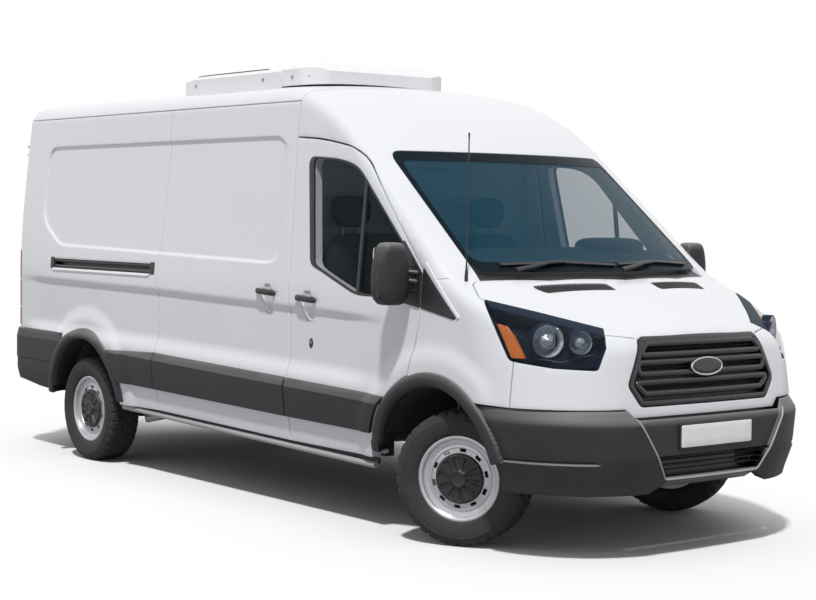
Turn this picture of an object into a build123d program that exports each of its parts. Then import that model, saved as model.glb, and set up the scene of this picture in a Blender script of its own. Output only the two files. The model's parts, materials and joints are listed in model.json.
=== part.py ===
"""Refrigerated panel van: long wheelbase, medium roof, cooling unit on the roof.

Millimetres. +X is the way the van drives, +Y its left, +Z up. The origin is on the ground
at the middle of the van's length and width. The front wheels stand steered to the left.
"""
from build123d import *
from math import cos, radians, sqrt
import os

# Overall sizes
LENGTH = 5981.0
WHEELBASE = 3750.0
FRONT_OVERHANG = 1023.0
BODY_WIDTH = 2060.0
ROOF_HEIGHT = 2480.0
TRACK_FRONT = 1732.0
TRACK_REAR = 1742.0
TYRE_RADIUS = 350.0
TYRE_WIDTH = 235.0
RIM_RADIUS = 221.0
STEER_REST = 29.0

# Walls, gaps and clearances
WALL = 65.0
SKIN = 40.0
GLASS = 8.0
SEAM = 6.0
DOOR_GAP = 9.0
TRIM = 14.0
RUNNING_GAP = 0.4

HALF = LENGTH / 2
HALF_WIDTH = BODY_WIDTH / 2
X_FRONT = HALF - FRONT_OVERHANG
X_REAR = X_FRONT - WHEELBASE
REAR_FACE = -HALF + 110.0
LOAD_FLOOR = 640.0
CAB_FLOOR = 520.0
GUTTER = 2342.0
CARGO_HALF_LOW = 918.0
CARGO_HALF_HIGH = 832.0
BULKHEAD_X = X_FRONT - 1400.0
B_SEAM = X_FRONT - 1315.0
SLIDER_REAR = B_SEAM - 1461.0
A_SEAM = X_FRONT - 117.0

# Side of the body from the sill up: height, inset from the half width
SIDE = [(380, 47), (720, 0), (1280, 18), (2425, 142)]
ROOF_EDGE = 105.0

# Windscreen and roof dome, set back from the front end
COWL_X = HALF - 705.0
COWL_Z = 1385.0
HEADER_X = HALF - 1550.0
HEADER_Z = 2055.0
SCREEN_BOW = 1958.0
DOME_RADIUS = 2020.0
DOME_STEPS = (0.0, 0.30, 0.58, 0.80, 0.94, 1.0)

# Nose in plan: height, nose set back from the front end, corner radius
NOSE = [(520, 60, 520), (760, 78, 520), (1000, 104, 540), (1130, 130, 560), (1500, 320, 600)]
BUMPER = [(335, 46, 480), (520, 0, 500), (700, 4, 500), (760, 30, 500)]
NOSE_BOW = 62.0
BONNET_SLOPE = 0.455
BONNET_DROP = 110.0
BONNET_SKIN = 16.0

# Wheel arches: centre from the axle, centre height, opening radius, flare radius
ARCH_FRONT = (12.0, 366.0, 455.0, 530.0)
ARCH_REAR = (37.0, 376.0, 455.0, 530.0)


def block(x, y, z):
    """A box from its low and high limits on each axis."""
    box = Box(x[1] - x[0], y[1] - y[0], z[1] - z[0])
    return Pos((x[0] + x[1]) / 2, (y[0] + y[1]) / 2, (z[0] + z[1]) / 2) * box


def rounded(points, radii):
    """A flat face through points in space, each corner rounded by its radius."""
    face = Face(Wire.make_polygon(points))
    for point, radius in zip(points, radii):
        if radius > 0:
            corner = face.vertices().sort_by_distance(point)[0]
            face = face.fillet_2d(radius, [corner])
    return face


def pull(face, vector):
    return extrude(face, amount=Vector(vector).length, dir=vector)


def from_side(points, y, radius=0.0):
    """An outline in x and z, pulled across from one y to the other."""
    face = rounded([(px, y[0], pz) for px, pz in points], [radius] * len(points))
    return pull(face, (0, y[1] - y[0], 0))


def from_front(points, x, radius=0.0):
    """An outline in y and z, pulled along from one x to the other."""
    face = rounded([(x[0], py, pz) for py, pz in points], [radius] * len(points))
    return pull(face, (x[1] - x[0], 0, 0))


def from_top(points, z, radius=0.0):
    """An outline in x and y, pulled up from one z to the other."""
    face = rounded([(px, py, z[0]) for px, py in points], [radius] * len(points))
    return pull(face, (0, 0, z[1] - z[0]))


def rod(start, end, radius):
    """A round bar between two points."""
    axis = Vector(end) - Vector(start)
    plane = Plane(origin=start, z_dir=axis)
    return extrude(plane * Circle(radius), amount=axis.length)


def both_sides(piece):
    """The piece and its mirror image on the other side of the van."""
    return [piece, mirror(piece, about=Plane.XZ)]


def largest(piece):
    """The largest solid of a piece, without the slivers a cut leaves."""
    return sorted(piece.solids(), key=lambda solid: -solid.volume)[0]


def half_width(z):
    """Half the body's width at a height."""
    for (low_z, low_in), (high_z, high_in) in zip(SIDE, SIDE[1:]):
        if z <= high_z:
            break
    share = (z - low_z) / (high_z - low_z)
    return HALF_WIDTH - (low_in + share * (high_in - low_in))


# Master forms. Each is drawn a wall thickness smaller for its inside.
def tunnel(shrink, x):
    """The body's cross-section drawn along the van."""
    right = [(half_width(z) - shrink, z) for z, inset in SIDE]
    edge_y, edge_z = right[-1]
    edge_z = edge_z - max(shrink, 0.0)
    right[-1] = (edge_y, edge_z)
    points = [(x[0], py, pz) for py, pz in right]
    far = [(x[0], -py, pz) for py, pz in reversed(right)]
    crown = (x[0], 0, ROOF_HEIGHT - shrink)
    roof = ThreePointArc(points[-1], crown, far[0])
    lines = Polyline(*far, *points)
    face = Face(Wire([roof, *lines.edges()]))
    for corner in (points[-1], far[0]):
        vertex = face.vertices().sort_by_distance(corner)[0]
        face = face.fillet_2d(ROOF_EDGE - max(shrink, 0.0), [vertex])
    return pull(face, (x[1] - x[0], 0, 0))


def bowed(nose_x, z):
    """A level face behind a line that bows forward as the windscreen does."""
    side = HALF_WIDTH + 70.0
    back = nose_x - SCREEN_BOW + sqrt(SCREEN_BOW ** 2 - side ** 2)
    arc = ThreePointArc((back, -side, z), (nose_x, 0, z), (back, side, z))
    tail = -HALF - 50.0
    lines = Polyline((back, side, z), (tail, side, z), (tail, -side, z), (back, -side, z))
    return Face(Wire([arc, *lines.edges()]))


def glasshouse(shrink):
    """Everything behind the windscreen and under the dome in front of the roof."""
    lean = (COWL_X - HEADER_X) / (HEADER_Z - COWL_Z)
    low = SIDE[0][0] - 80.0
    foot = bowed(COWL_X + lean * (COWL_Z - low) - shrink, low)
    screen = pull(foot, (-lean * (HEADER_Z - low), 0, HEADER_Z - low))
    top = ROOF_HEIGHT + 15.0
    rise = top - HEADER_Z
    start = HEADER_X - sqrt(DOME_RADIUS ** 2 - (DOME_RADIUS - rise) ** 2)
    faces = []
    for step in DOME_STEPS:
        z = HEADER_Z + step * rise
        run = sqrt(DOME_RADIUS ** 2 - (DOME_RADIUS - (top - z)) ** 2)
        faces.append(bowed(start + run - shrink, z))
    return screen + loft(faces)


def body_plan(shrink, rear, z):
    """The body in plan, tapered and rounded at the rear."""
    taper = X_REAR + 280.0
    wide = HALF_WIDTH + 12.0 - shrink
    narrow = HALF_WIDTH - 50.0 - shrink
    end = COWL_X + 900.0
    right = [(rear + shrink, -narrow), (taper, -wide), (end, -wide)]
    points = right + [(px, -py) for px, py in reversed(right)]
    corner = 140.0 - max(shrink, 0.0)
    face = rounded([(px, py, z[0]) for px, py in points], [corner, 0, 0, 0, 0, corner])
    return pull(face, (0, 0, z[1] - z[0]))


def nose(shrink, rows):
    """The front end as level outlines, one above the other."""
    faces = []
    for z, back, corner in rows:
        wide = half_width(max(z, SIDE[0][0])) - shrink
        tip = HALF - back - shrink
        arc = ThreePointArc((tip - NOSE_BOW, -wide, z), (tip, 0, z), (tip - NOSE_BOW, wide, z))
        tail = X_FRONT - 560.0
        shoulder = tip - NOSE_BOW
        lines = Polyline((shoulder, wide, z), (tail, wide, z), (tail, -wide, z), (shoulder, -wide, z))
        face = Face(Wire([arc, *lines.edges()]))
        for side in (-1, 1):
            vertex = face.vertices().sort_by_distance((tip - NOSE_BOW, side * wide, z))[0]
            face = face.fillet_2d(corner - max(shrink, 0.0), [vertex])
        faces.append(face)
    return loft(faces, ruled=True)


def under_bonnet(drop):
    """Everything below the bonnet's crowned and sloping surface, less a drop."""
    x = COWL_X - 600.0
    peak = COWL_Z + BONNET_SLOPE * (COWL_X - x) - drop
    side = HALF_WIDTH + 60.0
    sag = BONNET_DROP * (side / 960.0) ** 2
    arc = ThreePointArc((x, -side, peak - sag), (x, 0, peak), (x, side, peak - sag))
    lines = Polyline((x, side, peak - sag), (x, side, -400), (x, -side, -400), (x, -side, peak - sag))
    face = Face(Wire([arc, *lines.edges()]))
    return pull(face, (1400, 0, -1400 * BONNET_SLOPE))


def arch(spec, axle_x, radius, y):
    """A round bar through one wheel arch."""
    return rod((axle_x + spec[0], y[0], spec[1]), (axle_x + spec[0], y[1], spec[1]), radius)


WHOLE = (-HALF - 100, HALF + 100)
ACROSS = (-HALF_WIDTH - 50, HALF_WIDTH + 50)
SHELL_OUT = tunnel(0, (REAR_FACE, COWL_X + 60)) & glasshouse(0)
SHELL_OUT = SHELL_OUT & body_plan(0, REAR_FACE, (300, ROOF_HEIGHT + 100))
CABIN = tunnel(WALL, (BULKHEAD_X - 100, COWL_X + 60)) & glasshouse(SKIN + 5)
CABIN = CABIN & block((BULKHEAD_X - 100, HALF), (-HALF_WIDTH, HALF_WIDTH), (CAB_FLOOR, ROOF_HEIGHT))
FRONT_OUT = nose(0, NOSE) & under_bonnet(0)
BONNET_LAYER = FRONT_OUT - under_bonnet(BONNET_SKIN)
FRONT_SKIN = (FRONT_OUT - nose(SKIN, NOSE)) + BONNET_LAYER

nodes = {}

# Load space
cargo_low = 300.0
cargo_high = ROOF_HEIGHT + 50
lean_in = (CARGO_HALF_LOW - CARGO_HALF_HIGH) / (GUTTER - LOAD_FLOOR)
low_y = CARGO_HALF_LOW + lean_in * (LOAD_FLOOR - cargo_low)
high_y = CARGO_HALF_LOW - lean_in * (cargo_high - LOAD_FLOOR)
CARGO = from_front(
    [(-low_y, cargo_low), (low_y, cargo_low), (high_y, cargo_high), (-high_y, cargo_high)],
    (REAR_FACE + 90, HALF))
REAR_DOOR_HALF = 826.0
REAR_DOOR_FOOT = 650.0
opening_half = REAR_DOOR_HALF + SEAM
rear_opening = block((REAR_FACE - 10, REAR_FACE + 90), (-opening_half, opening_half), (300, GUTTER))
nodes["roof"] = SHELL_OUT & block((REAR_FACE, B_SEAM - 52), ACROSS, (GUTTER, ROOF_HEIGHT + 50))

# Outlines seen from the side: x and z
b_line = [(B_SEAM, 300), (B_SEAM + 4, 1300), (B_SEAM - 53, 2130), (B_SEAM - 53, 2400)]
door_arch = (X_FRONT + ARCH_FRONT[0], ARCH_FRONT[1], ARCH_FRONT[3] + SEAM)


def door_form(grow, y):
    """The front door seen from the side, grown all round by a gap."""
    points = [
        (B_SEAM + SEAM - grow, 392 - grow),
        (B_SEAM + 4 + SEAM - grow, 1300),
        (B_SEAM - 53 + SEAM - grow, 2128 + grow),
        (B_SEAM + 200, 2112 + grow),
        (B_SEAM + 490, 2062 + grow),
        (B_SEAM + 620 + grow, 2000 + grow),
        (A_SEAM - 70 + grow, 1475 + grow),
        (A_SEAM + grow, 1400 + grow),
        (A_SEAM + grow, 1190),
        (A_SEAM - 76 + grow, 850),
        (A_SEAM - 120 + grow, 392 - grow),
    ]
    arch_x, arch_z, arch_radius = door_arch
    wheel_room = rod((arch_x, y[0] - 1, arch_z), (arch_x, y[1] + 1, arch_z), arch_radius - grow)
    return from_side(points, y) - wheel_room


def window_form(grow, y):
    """The front door's window seen from the side."""
    points = [
        (B_SEAM + 228 - grow, 1412),
        (B_SEAM + 124 - grow, 2018 + grow),
        (B_SEAM + 400, 1995 + grow),
        (B_SEAM + 560, 1955 + grow),
        (A_SEAM - 25 + grow, 1400),
        (A_SEAM - 25 + grow, 1262 - grow),
        (B_SEAM + 640, 1262 - grow),
        (B_SEAM + 300, 1382 - grow),
    ]
    return from_side(points, y, 22.0)


RIGHT = (-HALF_WIDTH - 60, -HALF_WIDTH + 330)
LEFT = (HALF_WIDTH - 330, HALF_WIDTH + 60)
SLIDER_TOP = 2214.0
slider_points = [
    (SLIDER_REAR, 392), (SLIDER_REAR, SLIDER_TOP), (B_SEAM - 53, SLIDER_TOP), (B_SEAM - 53, 2130),
    (B_SEAM + 4, 1300), (B_SEAM, 392)]
slider_form = from_side(slider_points, RIGHT)
slider_hole = block((SLIDER_REAR - SEAM, B_SEAM + 60), RIGHT, (300, SLIDER_TOP + SEAM))
rear_arch_cut = arch(ARCH_REAR, X_REAR, ARCH_REAR[2], ACROSS)
BUMPER_FRONT_X = X_REAR + ARCH_REAR[0] - 300.0
BUMPER_TOP = 850.0
bumper_room = block((-HALF - 50, BUMPER_FRONT_X), ACROSS, (200, BUMPER_TOP))
LAMP_X = REAR_FACE + 105.0
lamp_low = BUMPER_TOP + 20
lamp_high = 1412.0
lamp_box = block((REAR_FACE - 10, LAMP_X), (opening_half + 40, HALF_WIDTH + 40), (lamp_low, lamp_high))
wall = SHELL_OUT & block((REAR_FACE - 10, B_SEAM + 10), ACROSS, (392, GUTTER))
wall = wall - CARGO - rear_opening - rear_arch_cut - bumper_room
behind_b = from_side(b_line + [(REAR_FACE - 20, 2400), (REAR_FACE - 20, 300)], ACROSS)
wall = wall & behind_b
lamps = both_sides(lamp_box)
wall = wall - lamps[0] - lamps[1]
left_half = block(WHOLE, (0, HALF_WIDTH + 50), (0, 3000))
right_half = block(WHOLE, (-HALF_WIDTH - 50, 0), (0, 3000))
nodes["side_left"] = wall & left_half
nodes["side_right"] = (wall & right_half) - slider_hole
nodes["sliding_door"] = wall & slider_form
tail = (SHELL_OUT & lamp_box) - CARGO - rear_opening
nodes["tail_lamps"] = Compound(both_sides(tail.solid()))

# Rear doors on outside hinges
HINGE_OUT = 40.0
HINGE_R = 12.0
HINGE_HEIGHTS = (800, 1450, 2130)
hinge_y = REAR_DOOR_HALF + 8.0
hinge_x = REAR_FACE - HINGE_OUT
rear_door = block((REAR_FACE, REAR_FACE + 75), (4, REAR_DOOR_HALF), (REAR_DOOR_FOOT, GUTTER - 9))
for z in HINGE_HEIGHTS:
    rear_door = rear_door + rod((hinge_x, hinge_y, z - 45), (hinge_x, hinge_y, z + 45), HINGE_R)
    rear_door = rear_door + block((hinge_x - 6, REAR_FACE + 1), (hinge_y - 62, hinge_y - 50), (z - 45, z + 45))
    rear_door = rear_door + block((hinge_x - 6, hinge_x + 6), (hinge_y - 62, hinge_y), (z - 45, z + 45))
nodes["rear_door_left"] = rear_door
for z in HINGE_HEIGHTS:
    low = z + 45 + RUNNING_GAP
    fixed = rod((hinge_x, hinge_y, low), (hinge_x, hinge_y, z + 72), HINGE_R)
    fixed = fixed + block((hinge_x - 6, REAR_FACE + 30), (hinge_y + 2, hinge_y + 16), (low, z + 72))
    nodes["side_left"] = nodes["side_left"] + fixed
    nodes["side_right"] = nodes["side_right"] + mirror(fixed, about=Plane.XZ)
nodes["rear_door_right"] = mirror(rear_door, about=Plane.XZ)

# Cab frame: dome, pillars, scuttle and firewall
screen_points = [(-832, 1408), (832, 1408), (792, HEADER_Z - 14), (-792, HEADER_Z - 14)]
screen_form = from_front(screen_points, (HEADER_X - 420, COWL_X + 60), 60.0)
BONNET_BACK = 24.0
bonnet_points = [
    (COWL_X + BONNET_BACK, 0), (COWL_X - 60 + BONNET_BACK, -480), (COWL_X - 190 + BONNET_BACK, -860),
    (COWL_X - 150, -905), (COWL_X - 30, -962), (COWL_X + 215, -815), (COWL_X + 475, -600),
    (HALF - 150, -431), (HALF, -431)]


def bonnet_form(grow):
    """The bonnet's outline in plan, grown by a gap."""
    middle_y = 1.0 + grow / 900.0
    right = [(px + (grow if px > COWL_X + 300 else -grow), py * middle_y) for px, py in bonnet_points]
    left = [(px, -py) for px, py in reversed(right[1:])]
    return from_top(right + left, (900, 1700))


scuttle = BONNET_LAYER & block((COWL_X - 290, COWL_X + 60), (-870, 870), (1100, 1700))
scuttle = scuttle - bonnet_form(SEAM)
frame = SHELL_OUT - CABIN
frame = frame & block((B_SEAM - 52, HALF), ACROSS, (1300, ROOF_HEIGHT + 50))
door_holes = door_form(DOOR_GAP, RIGHT) + door_form(DOOR_GAP, LEFT)
frame = frame - FRONT_OUT - screen_form - door_holes - Pos(3, 0, 0) * behind_b
frame = frame - block((B_SEAM - 60, A_SEAM - 5), ACROSS, (1200, 1402))
ARCH_ROOF = ARCH_FRONT[1] + ARCH_FRONT[2] + 20.0
FOOT_HALF = 500.0
post = block((A_SEAM + 12, A_SEAM + 90), (HALF_WIDTH - 140, HALF_WIDTH - 62), (ARCH_ROOF, 1450))
post = post & under_bonnet(0)
FIREWALL = (X_FRONT + 42.0, X_FRONT + 68.0)
firewall = block(FIREWALL, (-HALF_WIDTH + 62, HALF_WIDTH - 62), (ARCH_ROOF, 1445))
firewall = firewall + block(FIREWALL, (-FOOT_HALF, FOOT_HALF), (CAB_FLOOR, ARCH_ROOF + 5))
firewall = firewall & under_bonnet(BONNET_SKIN)
tie = block((A_SEAM + 12, FIREWALL[1]), (HALF_WIDTH - 100, HALF_WIDTH - 28), (ARCH_ROOF + 40, 1200))
leaf_z = (1200.0, 1240.0)
leaf = block((A_SEAM - 20, A_SEAM + 14), (HALF_WIDTH - 79, HALF_WIDTH - 64), leaf_z)
frame = frame + scuttle + firewall
for piece in both_sides(post) + both_sides(tie) + both_sides(leaf):
    frame = frame + piece
nodes["cab_frame"] = frame
nodes["windscreen"] = (SHELL_OUT - glasshouse(GLASS)) & screen_form

# Front doors
PANE_IN = 12.0
CAB_LENGTH = (BULKHEAD_X, COWL_X)
door_layer = SHELL_OUT - tunnel(WALL, (BULKHEAD_X, COWL_X + 60))
pane_layer = tunnel(PANE_IN, CAB_LENGTH) - tunnel(PANE_IN + GLASS, CAB_LENGTH)
for side, y in (("left", LEFT), ("right", RIGHT)):
    door = (door_layer & door_form(0, y)) - window_form(0, y)
    sign = 1 if side == "left" else -1
    slot_y = sorted((sign * (HALF_WIDTH - 100), sign * (HALF_WIDTH - 50)))
    slot_z = (leaf_z[0] - RUNNING_GAP, leaf_z[1] + RUNNING_GAP)
    nodes["front_door_" + side] = door - block((A_SEAM - 60, A_SEAM + 20), slot_y, slot_z)
    nodes["door_glass_" + side] = pane_layer & window_form(0, y)

# Nose panels
front_arch = arch(ARCH_FRONT, X_FRONT, ARCH_FRONT[2], ACROSS)
BUMPER_SPLIT = 760.0
lamp_outline = [
    (937, 1278), (1200, 1222), (1530, 1146), (1545, 1060), (1508, 952), (1290, 962), (1074, 990), (1010, 1120)]
LAMP_START = (HALF + 1000.0) * cos(radians(45)) - 900.0


def headlamp_form(grow):
    """The right headlamp's outline, seen from the corner."""
    c = cos(radians(45))
    mid = (sum(h for h, z in lamp_outline) / len(lamp_outline), 1090.0)
    points = []
    for h, z in lamp_outline:
        h = h + (grow if h > mid[0] else -grow)
        z = z + (grow if z > mid[1] else -grow)
        points.append(((h + LAMP_START) * c, (h - LAMP_START) * c, z))
    face = rounded(points, [8, 0, 30, 0, 30, 0, 8, 0])
    return pull(face, (900 * c, -900 * c, 0))


nodes["bonnet"] = BONNET_LAYER & bonnet_form(0)
vent_points = [(COWL_X + 70, -560), (COWL_X + 90, -250), (COWL_X + 190, -200), (COWL_X + 205, -500)]
vents = both_sides(from_top(vent_points, (1000, 1700), 25.0))
nodes["bonnet_vents"] = Compound([(nodes["bonnet"] & v).solid() for v in vents])
nodes["bonnet"] = nodes["bonnet"] - vents[0] - vents[1]
bonnet_room = bonnet_form(SEAM) - under_bonnet(BONNET_SKIN + RUNNING_GAP)
panel = FRONT_SKIN - bonnet_room - front_arch - door_holes
panel = panel - scuttle - block((X_FRONT - 600, A_SEAM + 8), (-880, 880), (0, 2000))
panel = panel - block((X_FRONT, HALF + 50), ACROSS, (0, BUMPER_SPLIT))
panel = panel - block((X_FRONT - 600, COWL_X), (-872, 872), (1150, 1700)) - nodes["cab_frame"]
lamp_forms = both_sides(headlamp_form(0))
grille_points = [(431, 1112), (541, 872), (466, 768), (-466, 768), (-541, 872), (-431, 1112)]
grille_form = from_front(grille_points, (HALF - 400, HALF + 50), 25.0)
panel = panel - lamp_forms[0] - lamp_forms[1] - grille_form
FASCIA_X = HALF - 470.0
fascia = panel & block((FASCIA_X, HALF + 50), ACROSS, (BUMPER_SPLIT, 1600))
nodes["front_fascia"] = largest(fascia)
wing = panel & block((X_FRONT - 560, FASCIA_X), (-HALF_WIDTH - 10, 0), (392, 1600))
nodes["front_wings"] = Compound(both_sides(largest(wing)))
lens = ((FRONT_OUT - nose(10, NOSE) + (FRONT_OUT - under_bonnet(10))) & lamp_forms[0]) - bonnet_room
nodes["headlamp_lenses"] = Compound(both_sides(largest(lens)))
case = (nose(10, NOSE) & under_bonnet(10)) - nose(110, NOSE)
case = case & headlamp_form(0) & block((COWL_X + 60, HALF), (-HALF_WIDTH, 0), (900, 1300))
case = case - bonnet_room
nodes["headlamp_cases"] = Compound(both_sides(largest(case)))
grille_form = grille_form & under_bonnet(BONNET_SKIN + RUNNING_GAP)
grille = (nose(22, NOSE) - nose(30, NOSE)) & grille_form
bar_layer = (nose(0, NOSE) - nose(24, NOSE)) & grille_form


def slot_shape(reach, z, half_height):
    """A long slot with round ends, seen from the front."""
    low, high = z - half_height, z + half_height
    points = [(-reach, low), (reach, low), (reach, high), (-reach, high)]
    return from_front(points, (HALF - 300, HALF), half_height - 1.0)


# Grille loops: height, reach to each side
for z, reach in ((1040, 470), (955, 505), (862, 505)):
    grille = grille + (bar_layer & (slot_shape(reach, z, 34) - slot_shape(reach - 20, z, 14)))
nodes["grille"] = grille

# Front bumper
bumper = nose(0, BUMPER) - nose(60, [(300, 46, 480)] + BUMPER[1:3] + [(800, 30, 500)])
bumper = bumper & block((X_FRONT + 300, HALF + 50), ACROSS, (300, BUMPER_SPLIT))
bumper = bumper - front_arch
intake = [(432, 528), (338, 418), (-338, 418), (-432, 528)]
bumper = bumper - from_front(intake, (HALF - 300, HALF + 50), 12.0)
nodes["front_bumper"] = bumper

# Mouldings and arch flares on the sides
OUTER_GROWN = (tunnel(-TRIM, WHOLE) & body_plan(-TRIM, REAR_FACE, (0, 2700))) - tunnel(0, WHOLE)
OUTER_GROWN = OUTER_GROWN - SHELL_OUT


def strip(x, y):
    """A moulding along the side, tapering towards the front."""
    top = [741 + 0.0265 * (X_FRONT - 390 - px) for px in x]
    foot = [522 + 0.0195 * (X_FRONT - 455 - px) for px in x]
    points = [(x[0], foot[0]), (x[0], top[0]), (x[1], top[1]), (x[1], foot[1])]
    return OUTER_GROWN & from_side(points, y)


rear_arch_front = X_REAR + ARCH_REAR[0] + ARCH_REAR[3] - 30.0
trims = [strip((SLIDER_REAR + 6, B_SEAM - 6), RIGHT), strip((rear_arch_front, SLIDER_REAR - 12), RIGHT),
         strip((rear_arch_front, B_SEAM - 6), LEFT)]
nose_grown = nose(-TRIM, NOSE) - nose(0, NOSE)
for axle_x, spec, form in ((X_FRONT, ARCH_FRONT, nose_grown), (X_REAR, ARCH_REAR, OUTER_GROWN)):
    for y in (RIGHT, LEFT):
        ring = arch(spec, axle_x, spec[3], y) - arch(spec, axle_x, spec[2] + 2, y)
        ring = ring & block(WHOLE, (RIGHT[0], LEFT[1]), (530, 1200))
        trims.append((form & ring) - bumper)
rear_rings = arch(ARCH_REAR, X_REAR, ARCH_REAR[3] + 4, RIGHT) + arch(ARCH_REAR, X_REAR, ARCH_REAR[3] + 4, LEFT)
for n in range(3):
    trims[n] = trims[n] - rear_rings
nodes["side_cladding"] = Compound([largest(t) for t in trims])
for side, y in (("left", LEFT), ("right", RIGHT)):
    piece = strip((B_SEAM + 14, A_SEAM), y)
    piece = piece & door_form(-2, y)
    nodes["door_moulding_" + side] = piece

# Rear bumper
rear_shape = tunnel(-TRIM, WHOLE) & body_plan(-TRIM, -HALF + 40.0, (440, BUMPER_TOP))
inner = body_plan(70, -HALF + 40.0, (300, BUMPER_TOP + 50)) & tunnel(56, WHOLE)
rear_bumper = rear_shape - inner - rear_arch_cut
rear_bumper = rear_bumper & block((-HALF - 10, BUMPER_FRONT_X), ACROSS, (440, BUMPER_TOP))
rear_bumper = rear_bumper - block((-HALF - 10, REAR_FACE + 120), (-905, 905), (608, 1000))
rear_bumper = rear_bumper - block((REAR_FACE - 1, 0), (-905, 905), (300, 1000)) - SHELL_OUT
step = block((-HALF, -HALF + 60), (-620, 620), (470, 596))
TOW_RADIUS = 10.0
TOW_DEPTH = 50.0
TOW_Y = -420.0
TOW_Z = 533.0
rear_bumper = rear_bumper + step - trims[-1] - trims[-2]
rear_bumper = rear_bumper - rod((-HALF, TOW_Y, TOW_Z), (-HALF + TOW_DEPTH, TOW_Y, TOW_Z), TOW_RADIUS)
nodes["rear_bumper"] = largest(rear_bumper)

# Underbody: floors, rails, cross members and rear wheel houses
floor = block((REAR_FACE + 95, BULKHEAD_X - 2), (-CARGO_HALF_LOW - 20, CARGO_HALF_LOW + 20), (560, LOAD_FLOOR))
floor = floor + block((BULKHEAD_X - 2, X_FRONT - 445), (-905, 905), (CAB_FLOOR - 40, CAB_FLOOR))
floor = floor + block((X_FRONT - 450, FIREWALL[1]), (-FOOT_HALF, FOOT_HALF), (CAB_FLOOR - 40, CAB_FLOOR))
floor = floor + block((BULKHEAD_X - 40, BULKHEAD_X - 2), (-905, 905), (CAB_FLOOR - 40, LOAD_FLOOR))
RAIL_Y = 430.0
for y in (-RAIL_Y, RAIL_Y):
    floor = floor + block((REAR_FACE + 60, BULKHEAD_X - 30), (y - 40, y + 40), (455, 561))
    floor = floor + block((BULKHEAD_X - 60, X_FRONT + 560), (y - 40, y + 40), (400, CAB_FLOOR - 35))
for x in (REAR_FACE + 90, X_REAR + 560, X_REAR + 1500, BULKHEAD_X - 100):
    floor = floor + block((x - 40, x + 40), (-CARGO_HALF_LOW + 2, CARGO_HALF_LOW - 2), (475, 561))
house_y = (690.0, CARGO_HALF_LOW - 30)
for sign in (-1, 1):
    y = sorted((sign * house_y[0], sign * house_y[1]))
    house = arch(ARCH_REAR, X_REAR, ARCH_REAR[2] + 30, y) & block(WHOLE, y, (560, 1000))
    floor = floor + house
    open_y = sorted((sign * (house_y[0] + 30), sign * (HALF_WIDTH + 50)))
    floor = floor - arch(ARCH_REAR, X_REAR, ARCH_REAR[2], open_y)
PAD = 60.0
pads = [(X_FRONT - 620, 1), (X_REAR + 640, 1), (X_FRONT - 620, -1), (X_REAR + 640, -1)]
for x, sign in pads:
    y = sorted((sign * (HALF_WIDTH - 230), sign * (HALF_WIDTH - 230 + PAD)))
    floor = floor + block((x - PAD / 2, x + PAD / 2), y, (380, CAB_FLOOR - 20 if x > 0 else 570))
nodes["underbody"] = floor - nodes["side_left"] - nodes["side_right"] - nodes["sliding_door"]
bulkhead = block((BULKHEAD_X, BULKHEAD_X + SKIN - 2), ACROSS, (CAB_FLOOR, GUTTER))
nodes["bulkhead"] = bulkhead & tunnel(WALL + 8, WHOLE) & CARGO

# Wheels. Front ones are drawn straight, then turned about the strut.
STRUT_FOOT_Y = TRACK_FRONT / 2 - 106.0
STRUT_TOP_Y = TRACK_FRONT / 2 - 266.0
STRUT_FOOT_Z = 230.0
STRUT_TOP_Z = 950.0
RIM_WIDTH = 178.0
HUB_BORE = 34.0


def tyre(y):
    """A road tyre about the y axis, its middle at y."""
    half = TYRE_WIDTH / 2
    bead = RIM_WIDTH / 2
    wall = [(bead, RIM_RADIUS), (half - 6, RIM_RADIUS + 35), (half, RIM_RADIUS + 70),
            (half - 14, TYRE_RADIUS - 14), (half - 34, TYRE_RADIUS)]
    points = [(0, y - across, r) for across, r in wall] + [(0, y + across, r) for across, r in reversed(wall)]
    radii = [0, 20, 60, 14, 10, 10, 14, 60, 20, 0]
    return revolve(rounded(points, radii), axis=Axis.Y)


def rim(y, out):
    """A steel wheel about the y axis. Out is +1 or -1, the side that shows."""
    bead = RIM_WIDTH / 2
    outline = [(-bead, RIM_RADIUS - 1), (-bead, RIM_RADIUS - 26), (-bead + 30, RIM_RADIUS - 40), (34, 178),
               (52, 166), (58, 118), (62, 70), (62, HUB_BORE), (74, HUB_BORE), (74, 72), (70, 122), (64, 172),
               (bead - 20, RIM_RADIUS - 22), (bead, RIM_RADIUS - 16), (bead, RIM_RADIUS - 1)]
    face = rounded([(0, y + out * t, r) for t, r in outline], [0] * len(outline))
    wheel = revolve(face, axis=Axis.Y)
    for n in range(10):
        a = 36.0 * n
        slot = Pos(0, y + out * 60, 0) * Rot(0, a, 0) * Pos(0, 0, 146) * Box(34, 60, 17)
        wheel = wheel - slot
    return wheel


def strut_axis(side):
    foot = Vector(X_FRONT, side * STRUT_FOOT_Y, STRUT_FOOT_Z)
    top = Vector(X_FRONT, side * STRUT_TOP_Y, STRUT_TOP_Z)
    return Axis(foot, top - foot)


def steered(piece, side):
    return piece.rotate(strut_axis(side), STEER_REST)


trial = steered(Pos(X_FRONT, TRACK_FRONT / 2, TYRE_RADIUS) * tyre(0), 1)
FRONT_LIFT = -trial.bounding_box().min.Z
WHEELS = [("front_left", X_FRONT, TRACK_FRONT / 2, 1), ("front_right", X_FRONT, TRACK_FRONT / 2, -1),
          ("rear_left", X_REAR, TRACK_REAR / 2, 1), ("rear_right", X_REAR, TRACK_REAR / 2, -1)]
for name, x, y, side in WHEELS:
    front = name.startswith("front")
    place = Pos(x, side * y, TYRE_RADIUS + (FRONT_LIFT if front else 0.0))
    for kind, piece in (("tyre_", tyre(0)), ("rim_", rim(0, side))):
        piece = place * piece
        nodes[kind + name] = steered(piece, side) if front else piece

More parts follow.
